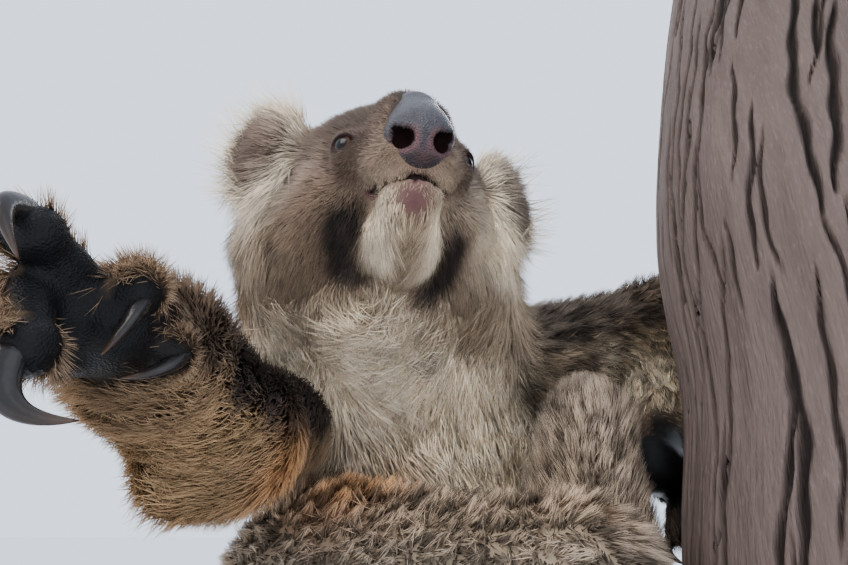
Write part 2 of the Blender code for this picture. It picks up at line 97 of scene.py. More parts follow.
def reach(points, shape):
    if "turn" in shape:
        local = (points - shape["c"]) @ shape["turn"]
        near = np.linalg.norm(local / shape["r"], axis=1)
        steep = np.linalg.norm(local / shape["r"] ** 2, axis=1)
        return near * (near - 1.0) / np.maximum(steep, 1e-9)
    along = shape["b"] - shape["a"]
    t = np.clip((points - shape["a"]) @ along / (along @ along), 0.0, 1.0)
    radius = shape["r"][0] + (shape["r"][1] - shape["r"][0]) * t
    return np.linalg.norm(points - shape["a"] - t[:, None] * along, axis=1) - radius


def join(one, other, blend):
    overlap = np.maximum(blend - np.abs(one - other), 0.0) / blend
    return np.minimum(one, other) - overlap**2 * blend / 4.0


def extent(shapes):
    low, high = [], []
    for shape in shapes:
        ends, size = [shape[key] for key in "abc" if key in shape], max(shape["r"])
        low.append(np.min(ends, axis=0) - size)
        high.append(np.max(ends, axis=0) + size)
    return np.min(low, axis=0), np.max(high, axis=0)


def pathGap(points, places, radius):
    return np.min([reach(points, cone(start, end, radius, radius))
                   for start, end in zip(places, places[1:])], axis=0)


# the trunk's surface, which the paws lie on
trunk = {"foot": (0.179, -0.115), "radius": 0.110, "bottom": 0.070, "top": 0.800,
         "leanFrom": 0.30, "lean": (0.30, 0.04), "leanCurve": 1.7,
         "sway": (0.016, 0.375, 0.080), "sides": 720, "rings": 122}


def trunkMiddle(height):
    lean = np.maximum(height - trunk["leanFrom"], 0.0)
    away, middle, spread = trunk["sway"]
    sway = away * np.exp(-(((height - middle) / spread) ** 2))
    return np.stack([trunk["foot"][0] + trunk["lean"][0] * lean ** trunk["leanCurve"] + sway,
                     trunk["foot"][1] + trunk["lean"][1] * lean, height + 0.0 * lean], axis=-1)


def trunkRadius(angle, height):
    waver = 0.030 * np.sin(2 * angle + 0.6) + 0.020 * np.sin(3 * angle + 5 * height)
    return trunk["radius"] * (1.0 + waver)


def onTrunk(degrees, height, out):
    angle = math.radians(degrees)
    radius = trunkRadius(angle, height) + out
    spoke = np.array((math.cos(angle), math.sin(angle), 0.0))
    return trunkMiddle(np.float64(height)) + spoke * radius


def trunkGap(points):  # how far each point is from the bark
    away = points - trunkMiddle(points[:, 2])
    angle = np.arctan2(away[:, 1], away[:, 0])
    return np.hypot(away[:, 0], away[:, 1]) - trunkRadius(angle, points[:, 2])


# hands and feet
rightHand = {
    "palm": (-0.196, -0.281, 0.371),
    "palmFaces": (0.45, -0.85, -0.28),
    "digits": {  # knuckle, middle joint, tip
        1: ((-0.194, -0.272, 0.382), (-0.188, -0.284, 0.386), (-0.183, -0.294, 0.380)),
        2: ((-0.190, -0.260, 0.361), (-0.181, -0.268, 0.365), (-0.177, -0.274, 0.363)),
        3: ((-0.200, -0.294, 0.376), (-0.203, -0.309, 0.382), (-0.205, -0.323, 0.388)),
        4: ((-0.205, -0.296, 0.370), (-0.209, -0.316, 0.368), (-0.197, -0.326, 0.350)),
        5: ((-0.207, -0.288, 0.361), (-0.221, -0.305, 0.361), (-0.216, -0.320, 0.345)),
    },
    "claws": {  # root, bend, point
        1: ((-0.180, -0.297, 0.374), (-0.178, -0.306, 0.363), (-0.186, -0.305, 0.353)),
        2: ((-0.172, -0.276, 0.361), (-0.171, -0.288, 0.351), (-0.186, -0.290, 0.349)),
        3: ((-0.206, -0.328, 0.393), (-0.207, -0.347, 0.393), (-0.197, -0.338, 0.372)),
        4: ((-0.197, -0.333, 0.347), (-0.196, -0.339, 0.325), (-0.175, -0.329, 0.328)),
        5: ((-0.215, -0.325, 0.341), (-0.214, -0.330, 0.322), (-0.202, -0.321, 0.316)),
    },
}
paws = {  # wrist, sole from heel to ball as degrees and height, digits as turn and rise
    "hand_left": {"wrist": joints["armLeft"][2], "wristRadius": 0.026,
                  "sole": ((149, 0.343), (131, 0.338)), "soleRadii": (0.021, 0.020),
                  "digits": {1: (6, -0.040), 2: (-10, -0.046), 3: (-36, -0.022),
                             4: (-42, 0.002), 5: (-36, 0.026)}, "thick": 0.0100},
    "foot_left": {"wrist": joints["legLeft"][2], "wristRadius": 0.036,
                  "sole": ((150, 0.165), (140, 0.205)), "soleRadii": (0.024, 0.022),
                  "digits": {0: (24, 0.022), 1: (-30, 0.034), 2: (-34, 0.024),
                             3: (-40, 0.004), 4: (-36, -0.020)}, "thick": 0.0105},
    "foot_right": {"wrist": joints["legRight"][2], "wristRadius": 0.031,
                   "sole": ((205, 0.118), (216, 0.158)), "soleRadii": (0.024, 0.022),
                   "digits": {0: (-24, 0.022), 1: (30, 0.034), 2: (34, 0.024),
                              3: (40, 0.004), 4: (36, -0.020)}, "thick": 0.0105},
}
pawSkin = 0.0010  # short hair on the backs of the paws


def pawPath(paw, digit, share, out):
    angle, height = paw["sole"][1]
    turn, rise = paw["digits"][digit]
    return onTrunk(angle + turn * share, height + rise * share, out)


def pawShapes(paw):
    heel = onTrunk(*paw["sole"][0], paw["soleRadii"][0])
    ball = onTrunk(*paw["sole"][1], paw["soleRadii"][1])
    shapes = [cone(paw["wrist"], heel, paw["wristRadius"], paw["soleRadii"][0], 0.006),
              cone(heel, ball, *paw["soleRadii"], pawSkin)]
    thick = paw["thick"]
    for digit in paw["digits"]:
        path = [pawPath(paw, digit, share, thick * 0.9) for share in (0.3, 0.65, 1.0)]
        shapes.append(cone(ball, path[0], thick * 1.5, thick * 1.2, pawSkin))
        shapes.append(cone(path[0], path[1], thick * 1.2, thick * 1.0, pawSkin))
        shapes.append(cone(path[1], path[2], thick * 1.0, thick, pawSkin))
    return shapes


def rightHandShapes():
    wrist, palm = np.array(joints["armRight"][2]), np.array(rightHand["palm"])
    faces = np.array(rightHand["palmFaces"])
    shapes = [cone(wrist, palm, 0.027, 0.0215, pawSkin), egg(palm + faces * 0.010, (0.014,) * 3)]
    for knuckle, middle, tip in rightHand["digits"].values():
        shapes.append(cone(palm, knuckle, 0.0135, 0.0115, pawSkin))
        shapes.append(cone(knuckle, middle, 0.0112, 0.0098, pawSkin))
        shapes.append(cone(middle, tip, 0.0098, 0.0092, pawSkin))
        shapes.append(egg(np.array(tip) + faces * 0.0022, (0.0088,) * 3))
        shapes.append(egg(np.array(knuckle) + faces * 0.0050, (0.0088,) * 3))
    return shapes


# the head's parts
ear = {"places": {-1: (0.078, -0.008, 0.031), 1: (0.084, -0.010, 0.018)},
       "radii": (0.038, 0.021, 0.044), "turn": math.radians(35), "depth": 0.014}
eye = {"place": (0.036, 0.047, 0.001), "radius": 0.0085, "lid": 0.0016,
       "opening": (0.0088, 0.0047, 0.0085), "openingAhead": 0.0105, "look": (0.66, 0.74, -0.10)}

nose = {"voxel": 0.0011, "blend": 0.012,
        "shapes": [headCone((0.003, 0.062, 0.020), (0.003, 0.070, -0.004), 0.0165, 0.0182),
                   headCone((0.003, 0.070, -0.004), (0.003, 0.066, -0.014), 0.0182, 0.0115)],
        "nostrils": ((-0.0095, 0.084, -0.0155), (0.0135, 0.085, -0.0155)),
        "commas": ((-0.0160, 0.080, -0.0085), (0.0200, 0.081, -0.0085)),
        # dark: faces within this gap of the holes take the painted nostril shade
        "inward": (0.0, -0.0080, 0.0040), "radii": (0.0056, 0.0030), "dark": 0.0009}


def headShapes():
    shapes = [headEgg(0.0, -0.018, 0.016, (0.074, 0.068, 0.060), 0.008),
              headCone((0, 0.008, 0.018), (0.002, 0.050, 0.016), 0.050, 0.031, 0.004),
              headEgg(0.002, 0.046, -0.008, (0.030, 0.027, 0.022), 0.0015),
              headEgg(0.0, -0.036, -0.028, (0.095, 0.054, 0.052), 0.014)]
    for side in (-1, 1):
        shapes.append(headEgg(side * 0.038, -0.004, -0.018, (0.036, 0.045, 0.040), 0.009))
        shapes.append(egg(eyePoint(side), (eye["radius"] + eye["lid"],) * 3))
        shapes.append(headEgg(0.002 + side * 0.012, 0.058, -0.018, (0.013, 0.013, 0.009), 0.0))
    return shapes


def eyePoint(side):
    return headPoint(side * eye["place"][0], eye["place"][1], eye["place"][2])


def eyeLook(side):
    l, f, u = eye["look"]
    look = left * (side * l) + forward * f + up * u
    return np.array(look.normalized())


def neckShapes():
    return [cone(headPoint(0, -0.042, -0.036), joints["neckRoot"], 0.068, 0.080, 0.016),
            cone(*joints["ruff"], 0.042, 0.040, 0.014),
            cone(headPoint(-0.062, -0.030, -0.022), joints["ruff"][0], 0.036, 0.042, 0.014),
            cone(headPoint(0.066, -0.030, -0.025), joints["ruff"][1], 0.032, 0.040, 0.014)]


def jawShapes():
    chin, middle, throat = (0.003, 0.050, -0.029), (0.003, 0.022, -0.041), (0.003, -0.008, -0.044)
    return [headCone(chin, middle, 0.0195, 0.0210, 0.003),
            headCone(middle, throat, 0.0210, 0.0170, 0.008)]


def earTurn(side):
    return np.array(Matrix.Rotation(side * ear["turn"], 3, "Z"))


def earShapes(side):
    out, f, u = ear["places"][side]
    l = side * out
    return [headEgg(l, f, u, ear["radii"], ear["depth"], earTurn(side)),
            headCone((side * 0.056, f - 0.006, u - 0.006), (l * 0.92, f, u), 0.020, 0.014),
            headCone((side * 0.058, f - 0.010, u - 0.036), (l * 0.90, f - 0.004, u - 0.016),
                     0.015, 0.012)]


def limbShapes(name, radii, depth, *hangs):  # hangs: where loose skin ends, and its radii
    root, joint, end = joints[name]
    shapes = [cone(root, joint, *radii[:2], depth), cone(joint, end, *radii[2:], depth * 0.8)]
    return shapes + [cone(joint, *hang, depth) for hang in hangs]


def torsoShapes():
    depth = 0.015
    return [egg((-0.090, 0.048, 0.392), (0.124, 0.100, 0.092), depth),
            egg((-0.078, 0.055, 0.310), (0.118, 0.098, 0.105), depth),
            egg((-0.090, 0.048, 0.222), (0.122, 0.106, 0.098), depth),
            cone((-0.165, 0.025, 0.390), (-0.010, 0.050, 0.425), 0.070, 0.066, depth),
            egg((-0.096, 0.040, 0.432), (0.105, 0.085, 0.060), depth)]


# the whole body in regions: forms, how they blend, and the coat there.
# depth: coat over the skin. length, width and tufts: of the hair, and how many.
# clump, curl: how far tips lean together and wander. bent: tufts with a middle.
regionKeys = ("shapes", "blend", "depth", "length", "width", "tufts", "clump", "curl", "bent")
regionRows = {
    "head": (headShapes(), 0.016, 0.0060, 0.0105, 0.00036, 54000, 0.20, 0.22, False),
    "jaw": (jawShapes(), 0.010, 0.0060, 0.022, 0.00028, 11500, 0.36, 0.16, True),
    "earRight": (earShapes(-1), 0.010, 0.012, 0.024, 0.00032, 5300, 0.30, 0.30, True),
    "earLeft": (earShapes(1), 0.010, 0.012, 0.024, 0.00032, 4500, 0.30, 0.30, True),
    "neck": (neckShapes(), 0.022, 0.015, 0.036, 0.00038, 18500, 0.34, 0.34, True),
    "torso": (torsoShapes(), 0.030, 0.014, 0.044, 0.00046, 18500, 0.40, 0.34, True),
    "armRight": (limbShapes("armRight", (0.055, 0.042, 0.043, 0.036), 0.013,
                            ((-0.209, -0.160, 0.325), 0.040, 0.024)), 0.024,
                 0.012, 0.030, 0.00036, 18600, 0.20, 0.16, True),
    "armLeft": (limbShapes("armLeft", (0.052, 0.042, 0.040, 0.032), 0.012,
                           ((0.100, 0.025, 0.405), 0.036, 0.024)), 0.024,
                0.011, 0.018, 0.00042, 22000, 0.62, 0.75, False),
    "legRight": (limbShapes("legRight", (0.092, 0.048, 0.047, 0.034), 0.013), 0.028,
                 0.0125, 0.0148, 0.00042, 49000, 0.86, 1.30, False),
    "legLeft": (limbShapes("legLeft", (0.060, 0.030, 0.031, 0.034), 0.010), 0.028,
                0.009, 0.018, 0.00036, 20000, 0.35, 0.30, False),
    "hand_right": (rightHandShapes(), 0.004, 0.0032, 0.0125, 0.00024, 14000, 0.30, 0.35, False),
}
for pawName, paw in paws.items():
    regionRows[pawName] = (pawShapes(paw), 0.005, 0.0028, 0.0095, 0.00032, 5000, 0.3, 0.35, False)
regions = {name: dict(zip(regionKeys, row)) for name, row in regionRows.items()}
regionNames = list(regions)
for region in regions.values():
    region["box"] = extent(region["shapes"])
meet = {"blend": 0.012, "softBlend": 0.030, "soft": ("neck", "torso")}  # where regions meet
openings = {"middle": (0, 0.045, -0.01), "radius": 0.075, "lidEdge": 0.0015, "lipEdge": 0.0020}
farAway = 0.060


def regionReach(points, region):  # distance to one region, worked out only near it
    low, high = region["box"]
    near = np.all((points > low - farAway) & (points < high + farAway), axis=1)
    result = np.full(len(points), farAway * 2)
    if near.any():
        close = points[near]
        total = reach(close, region["shapes"][0])
        for shape in region["shapes"][1:]:
            total = join(total, reach(close, shape), region["blend"])
        result[near] = np.minimum(total, farAway * 2)
    return result


mouth = {"line": ((-0.0180, 0.0378, -0.0215), (-0.0108, 0.0577, -0.0275),
                  (0.0020, 0.0655, -0.0288), (0.0135, 0.0600, -0.0275),
                  (0.0245, 0.0440, -0.0190)), "groove": 0.0022}


def mouthGap(points):
    return pathGap(points, [headPoint(*place) for place in mouth["line"]], mouth["groove"])


def openingGap(points, side):  # distance to the almond opening between the lids
    look = eyeLook(side)
    across = unit(np.cross(look, np.array(up)))
    axes = np.stack([across, np.cross(across, look), look], axis=1)
    middle = eyePoint(side) + look * eye["openingAhead"]
    return reach(points, egg(middle, eye["opening"], 0.0, axes))


def skinField(points):
    total = regionReach(points, regions[regionNames[0]])
    for name in regionNames[1:]:
        blend = meet["softBlend" if name in meet["soft"] else "blend"]
        total = join(total, regionReach(points, regions[name]), blend)
    gaps = points - headPoint(*openings["middle"])
    near = np.linalg.norm(gaps, axis=1) < openings["radius"]
    if near.any():
        close, part = points[near], total[near]
        for side in (-1, 1):
            part = -join(-part, openingGap(close, side), openings["lidEdge"])
        total[near] = -join(-part, mouthGap(close), openings["lipEdge"])
    return total


def unit(vectors):
    return vectors / np.maximum(np.linalg.norm(vectors, axis=-1, keepdims=True), 1e-9)


def slope(points, field=skinField, step=0.0004):
    here = field(points)
    sides = [field(points + offset) - here for offset in np.eye(3) * step]
    return here, unit(np.stack(sides, axis=1))


# meshes from arrays
def read(collection, key, width, kind=float):
    values = np.empty(len(collection) * width, dtype=kind)
    collection.foreach_get(key, values)
    return values.reshape(-1, width)


def settle(mesh, field, rounds, hold=0.5, step=0.0004):
    # moves the vertices onto a field's surface, evenly spread
    points = read(mesh.vertices, "co", 3)
    ends = read(mesh.edges, "vertices", 2, int)
    degree = np.maximum(np.bincount(ends.ravel(), minlength=len(points)), 1)[:, None]
    for _ in range(rounds):
        total = np.stack([np.bincount(ends[:, 0], points[ends[:, 1], k], len(points))
                          + np.bincount(ends[:, 1], points[ends[:, 0], k], len(points))
                          for k in range(3)], axis=1)
        points = points * (1 - hold) + hold * total / degree
        for _ in range(2):
            here, normals = slope(points, field, step)
            points = points - normals * np.clip(here, -0.006, 0.006)[:, None]
    mesh.vertices.foreach_set("co", points.ravel())
    mesh.update()


def meshFrom(bm, name):
    mesh = bpy.data.meshes.new(name)
    bm.to_mesh(mesh)
    bm.free()
    return mesh


def newObject(name, mesh):
    obj = bpy.data.objects.new(name, mesh)
    bpy.context.scene.collection.objects.link(obj)
    return obj


def freeze(obj):
    graph = bpy.context.evaluated_depsgraph_get()
    mesh = bpy.data.meshes.new_from_object(obj.evaluated_get(graph))
    obj.modifiers.clear()
    obj.data = mesh


def addBall(bm, middle, radii, turn, level=3):
    matrix = Matrix.Translation(Vector(middle)) @ turn.to_4x4() @ Matrix.Diagonal((*radii, 1.0))
    bmesh.ops.create_icosphere(bm, subdivisions=level, radius=1.0, matrix=matrix)


def roughBody(name, shapes, voxel):  # one closed body round all the shapes
    bm = bmesh.new()
    for shape in shapes:
        if "turn" in shape:
            addBall(bm, shape["c"], shape["r"], Matrix(shape["turn"].tolist()))
            continue
        length = np.linalg.norm(shape["b"] - shape["a"])
        count = 2 + int(length / (0.5 * min(shape["r"])))
        for t in np.linspace(0.0, 1.0, count):
            middle = shape["a"] * (1 - t) + shape["b"] * t
            radius = shape["r"][0] * (1 - t) + shape["r"][1] * t
            addBall(bm, middle, (radius,) * 3, Matrix.Identity(3), 2)
    obj = newObject(name, meshFrom(bm, name))
    remesh = obj.modifiers.new("one body", "REMESH")
    remesh.mode = "VOXEL"
    remesh.voxel_size = voxel
    freeze(obj)
    return obj


def attribute(mesh, name, values, kind="FLOAT_COLOR"):  # a value for each vertex
    layer = mesh.attributes.new(name, kind, "POINT")
    values = np.asarray(values, np.float32)
    layer.data.foreach_set("color" if kind == "FLOAT_COLOR" else "value", values.ravel())


def loft(name, rings, tips=(None, None)):  # joined rings, each end closed flat or to a tip
    rings = np.asarray(rings)
    rows, across = rings.shape[:2]
    points = [tuple(point) for point in rings.reshape(-1, 3)]
    after = [(k + 1) % across for k in range(across)]
    faces = [(low + k, low + after[k], low + across + after[k], low + across + k)
             for low in range(0, (rows - 1) * across, across) for k in range(across)]
    ends = (list(range(across))[::-1], list(range((rows - 1) * across, rows * across)))
    for ring, tip in zip(ends, tips):
        if tip is None:
            faces.append(tuple(ring))
        else:
            faces += [(ring[k], ring[after[k]], len(points)) for k in range(across)]
            points.append(tuple(tip))
    mesh = bpy.data.meshes.new(name)
    mesh.from_pydata(points, [], faces)
    mesh.update()
    return mesh


def smooth(low, high, value):
    t = np.clip((value - low) / (high - low), 0.0, 1.0)
    return t * t * (3 - 2 * t)


def ripple(points, size, seed):  # wanders softly from -1 to 1: a few sines at odd angles
    turns = np.random.default_rng(seed).normal(size=(5, 3))
    turns /= np.linalg.norm(turns, axis=1, keepdims=True)
    phases = np.random.default_rng(seed + 1).uniform(0, math.tau, 5)
    waves = [np.sin(points @ turn * math.tau / (size * (0.7 + 0.2 * k)) + phase)
             for k, (turn, phase) in enumerate(zip(turns, phases))]
    return np.mean(waves, axis=0)


# markings: one rule for skin and coat. Each patch has its middles and how far it reaches
patches = {
    "chestSide": ([(-0.195, -0.075, 0.405)], 0.040),
    # cheek: paler fur with painted backlight
    "cheek": ([headPoint(0.060, 0.000, -0.020)], 0.029),
    "rump": ([(-0.085, 0.150, 0.185)], 0.060),
    # jowls: darker fur with painted shade under the cheeks, beside the chin
    "jowlRight": ([headPoint(-0.0300, 0.026, -0.036), headPoint(-0.0265, 0.018, -0.047),
                   headPoint(-0.020, 0.014, -0.058)], 0.0130),
    "jowlLeft": ([headPoint(0.0345, 0.024, -0.040), headPoint(0.0330, 0.014, -0.052),
                  headPoint(0.026, 0.010, -0.062)], 0.0110),
    "eyes": ([eyePoint(side) for side in (-1, 1)], 0.0130),
    # brow: rust fur, with painted shadow where the forehead fur overhangs the top of the nose
    "browRustAndShade": ([headPoint(0.002, 0.058, 0.044)], 0.014),
    "besideNose": ([headPoint(side * 0.024 + 0.001, 0.056, 0.004) for side in (-1, 1)], 0.010),
    "elbow": ([(-0.145, -0.069, 0.357)], 0.030),
    "rust": ([(-0.153, -0.122, 0.334), (-0.135, -0.085, 0.340), (-0.112, -0.050, 0.343)], 0.030),
    "chin": ([headPoint(0.002, 0.060, -0.040)], 0.0170),
    "throat": ([headPoint(-0.022, 0.004, -0.078)], 0.020),
    "noseFoot": ([headPoint(0.003, 0.078, -0.0235)], 0.0055),
}


def patch(points, name):
    places, radius = patches[name]
    return sum(np.exp(-np.sum((points - np.array(place)) ** 2, axis=1) / radius**2)
               for place in places)


def regionWeights(points, soft=0.006):
    gaps = np.stack([regionReach(points, regions[name]) for name in regionNames], axis=1)
    weights = np.exp(-(gaps - gaps.min(axis=1, keepdims=True)) / soft)
    return weights / weights.sum(axis=1, keepdims=True)


def weightOf(weights, *names):
    return sum(weights[:, regionNames.index(name)] for name in names)


def fringe(points):  # 1 at the ears' rims, where the hair is longest
    result = np.zeros(len(points))
    for side in (-1, 1):
        turn = headAxes @ earTurn(side)
        out, f, u = ear["places"][side]
        middle = headPoint(side * out, f, u)
        local = (points - middle) @ turn / (np.array(ear["radii"]) - ear["depth"])
        rim = np.hypot(local[:, 0], local[:, 2])
        near = np.linalg.norm(points - middle, axis=1) < 0.055
        result = np.maximum(result, smooth(0.55, 1.0, rim) * near)
    return result


def markings(points, normals, weights):  # cream, dark, tan and rust, from 0 to 1. The dark holds painted shade in places, the cream painted backlight on the cheek
    share = dict(zip(regionNames, weights.T))
    head, jaw, neck, torso = (share[name] for name in ("head", "jaw", "neck", "torso"))
    armLeft, thigh = share["armLeft"], share["legRight"]
    arms, ears = share["armRight"] + armLeft, share["earRight"] + share["earLeft"]
    aside, ahead, above = inHead(points).T
    wobble = ripple(points, 0.05, 3) * 0.25
    front = normals @ np.array((0.30, -0.95, 0.0)) + wobble
    under = -normals[:, 2] + wobble
    low = smooth(0.455, 0.405, points[:, 2] + wobble * 0.05)
    forearmLeft = armLeft * smooth(0.455, 0.425, points[:, 2]) * smooth(0.045, 0.065, points[:, 0])
    shank = thigh * smooth(-0.030, 0.030, points[:, 0])  # the paler end of the near thigh
    rims, browRustAndShade = fringe(points), patch(points, "browRustAndShade")
    # less cream along the middle of the beard: browner fur with painted shade
    cream = jaw * (0.26 + 0.54 * smooth(0.004, 0.022, np.abs(aside - 0.003))
                   + 0.06 * smooth(0.030, 0.0, ahead))
    cream += neck * (0.30 + 0.70 * low) * smooth(-0.45, 0.15, front)
    # the cheek's cream is paler fur with painted backlight
    cream += (neck + torso) * 0.90 * patch(points, "chestSide") + 0.90 * patch(points, "cheek")
    cream += torso * (smooth(-0.30, 0.20, front) + 0.35 * patch(points, "rump"))
    cream += armLeft * 0.26 + forearmLeft * 0.74 + ears * 0.75 * rims
    cream += share["legLeft"] * 0.18 + thigh * 0.30 - shank * 0.10
    # the jowls' dark is darker fur with painted shade under the cheeks
    jowlFurAndShade = np.clip(patch(points, "jowlRight") + patch(points, "jowlLeft"), 0, 1)
    # the brow's dark is painted shadow under the overhanging forehead fur
    dark = 1.6 * jowlFurAndShade * (1 - jaw) ** 2 + 0.80 * patch(points, "eyes") + 0.70 * browRustAndShade
    # painted shade on the forehead, fading to a little at the back of the crown
    dark += head * 0.80 * smooth(0.000, 0.028, above) * (
        0.15 + 0.85 * smooth(-0.020, 0.035, ahead))
    dark += ears * 0.45 * (1 - rims) + weightOf(weights, *paws) * 0.30
    dark += (arms - armLeft * 0.55) * smooth(0.15, -0.18, under) * (1 - forearmLeft)
    dark += 0.5 * patch(points, "besideNose") + 0.75 * patch(points, "elbow") * (1 - torso)
    tan = neck * 0.60 * (1 - low) + head * 0.35 * smooth(0.0, -0.04, above) + jaw * 0.60
    tan += arms * smooth(-0.20, 0.15, under) + share["hand_right"] * 0.45 + forearmLeft * 0.80
    topOfThigh = thigh * smooth(0.2, 0.9, normals[:, 2])
    rust = np.clip(1.3 * patch(points, "rust") + 0.5 * browRustAndShade + 0.20 * topOfThigh, 0, 1)
    dark, tan = dark * (1 - 0.85 * rust), tan * (1 - 0.7 * rust)
    cream *= (1 - 0.9 * np.clip(dark, 0, 1) * (1 - torso)) * (1 - 0.8 * rust)
    return np.clip(np.stack([cream, dark, tan, rust], axis=1), 0.0, 1.0)


def digitGap(points, numbers):
    return np.min([pathGap(points, rightHand["digits"][number], 0.0105) for number in numbers],
                  axis=0)


def bareness(points, normals, weights):  # palms and soles, lips, lids' edges, each from 0 to 1
    faces = unit(np.array(rightHand["palmFaces"]))
    ahead = np.array(rightHand["palm"])[1] - points[:, 1]
    palm = smooth(-0.30, 0.0, normals @ faces) * smooth(-0.022, -0.012, ahead)
    across = smooth(-0.25, 0.15, normals @ unit(np.array((0.90, -0.25, -0.35))))
    fingers = smooth(0.003, -0.003, digitGap(points, (4,)) - digitGap(points, (2, 3)))
    palm *= 1 - fingers * (1 - across)
    others = digitGap(points, (1, 2, 5))
    back = smooth(0.003, -0.002, others - digitGap(points, (3, 4))) * smooth(0.002, -0.001, others)
    lower = faces * 0.005 + np.array((0.0, 0.0, -0.003))
    pads = np.max([smooth(0.0115, 0.0085, np.linalg.norm(points - tip - lower, axis=1))
                   for *_, tip in rightHand["digits"].values()], axis=0)
    hand = weightOf(weights, "hand_right") * np.maximum(palm * (1 - back), pads)
    inward = unit((trunkMiddle(points[:, 2]) - points) * (1.0, 1.0, 0.0))
    soles = weightOf(weights, *paws) * smooth(-0.10, 0.20, np.sum(normals * inward, axis=1))
    heel = onTrunk(*paws["hand_left"]["sole"][0], 0.016) - (0.0, 0.0, 0.006)
    soles += smooth(0.031, 0.025, np.linalg.norm(points - heel, axis=1)) * (
        weightOf(weights, "hand_left") > 0.4)
    lids = sum(smooth(0.0022, 0.0006, openingGap(points, side)) for side in (-1, 1))
    lids += smooth(0.0014, 0.0, mouthGap(points))
    lips = np.maximum(smooth(0.0055, 0.0020, mouthGap(points)), 0.95 * patch(points, "chin"))
    return np.clip(np.stack([hand + soles, lips, lids], axis=1), 0.0, 1.0)


skinSettings = {"voxel": 0.0034, "fine": (0.020, 0.014)}  # finer round the eyes and the mouth


def buildSkin():
    shapes = [shape for region in regions.values() for shape in region["shapes"]]
    obj = roughBody("skin", shapes, skinSettings["voxel"])
    settle(obj.data, skinField, 2)
    bm = bmesh.new()
    bm.from_mesh(obj.data)
    places = [Vector(eyePoint(-1)), Vector(eyePoint(1)), Vector(headPoint(0.0, 0.055, -0.032))]
    for radius in skinSettings["fine"]:
        edges = [edge for edge in bm.edges
                 if min((edge.verts[0].co - place).length for place in places) < radius]
        bmesh.ops.subdivide_edges(bm, edges=edges, cuts=1, use_grid_fill=True)
    bmesh.ops.triangulate(bm, faces=[face for face in bm.faces if len(face.verts) > 4])
    bm.to_mesh(obj.data)
    bm.free()
    settle(obj.data, skinField, 3, hold=0.35)
    obj.data.shade_smooth()
    return obj


def unwrap(obj):  # the skin's own unwrap, which the coat's patches are placed on
    obj.data.uv_layers.new(name="OFBake")
    bpy.context.view_layer.objects.active = obj
    obj.select_set(True)
    bpy.ops.object.mode_set(mode="EDIT")
    bpy.ops.mesh.select_all(action="SELECT")
    bpy.ops.uv.smart_project(angle_limit=math.radians(66), island_margin=0.002)
    bpy.ops.object.mode_set(mode="OBJECT")
    obj.select_set(False)


skin = buildSkin()
print("skin:", len(skin.data.polygons), "faces")
unwrap(skin)
print("skin unwrapped")
skinPoints = read(skin.data.vertices, "co", 3)
skinNormals = slope(skinPoints)[1]
skinWeights = regionWeights(skinPoints)
attribute(skin.data, "marks", markings(skinPoints, skinNormals, skinWeights))
bare = bareness(skinPoints, skinNormals, skinWeights)
attribute(skin.data, "bare", np.hstack([bare, np.ones((len(bare), 1))]))
print("skin painted")

# the coat: closed three-sided tufts, long ones bent and short ones straight
coat = {"length": (0.72, 1.22), "depth": (0.60, 1.10), "width": (0.80, 1.35),  # each varies
        "steepest": 0.80, "rootDepth": 0.0012, "flat": 0.55, "middle": 0.78, "bend": (0.42, 0.72),
        "perLock": 34, "lockReach": 0.013, "pull": (0.6, 1.15), "mostPull": 0.92, "stray": 0.0007,
        "wander": 1.3, "scatter": 0.16, "patch": 0.003, "mostTriangles": 190000,
        "shorter": {"face": 0.74, "throat": 0.70}, "longer": {"rim": 0.55, "beard": 0.35}}
tints = {"middle": 0.68, "lock": 0.10, "hair": 0.20, "woolly": 0.26, "cream": 0.13,
         "cleftShade": (0.62, 0.60), "knots": 0.75}  # painted shade between locks: everywhere, and added in wool
sides = 3
bentTuft = {  # corners: root ring, middle ring, tip. Each face's corners also lie on its patch
    "corners": 7, "triangles": 10, "rise": (0, 0, 0, 0.5, 0.5, 0.5, 1.0),
    "faces": [(0, 1, 4, 3), (1, 2, 5, 4), (2, 0, 3, 5), (3, 4, 6), (4, 5, 6), (5, 3, 6),
              (0, 2, 1)],
    "patch": [((0, 0), (.33, 0), (.33, .5), (0, .5)), ((.33, 0), (.67, 0), (.67, .5), (.33, .5)),
              ((.67, 0), (1, 0), (1, .5), (.67, .5)), ((0, .5), (.33, .5), (.17, 1)),
              ((.33, .5), (.67, .5), (.5, 1)), ((.67, .5), (1, .5), (.83, 1)),
              ((0, 0), (1, 0), (.5, .12))]}
straightTuft = {  # corners: root ring, tip
    "corners": 4, "triangles": 4, "rise": (0, 0, 0, 1.0),
    "faces": [(0, 1, 3), (1, 2, 3), (2, 0, 3), (0, 2, 1)],
    "patch": [((0, 0), (.33, 0), (.17, 1)), ((.33, 0), (.67, 0), (.5, 1)),
              ((.67, 0), (1, 0), (.83, 1)), ((0, 0), (1, 0), (.5, .12))]}


def along(points, name):  # the way down a limb, from its root to its end
    root, joint, end = (np.array(place) for place in joints[name])
    upper, lower = pathGap(points, (root, joint), 0.01), pathGap(points, (joint, end), 0.01)
    share = smooth(-0.03, 0.03, upper - lower)[:, None]
    return unit(joint - root) * (1 - share) + unit(end - joint) * share


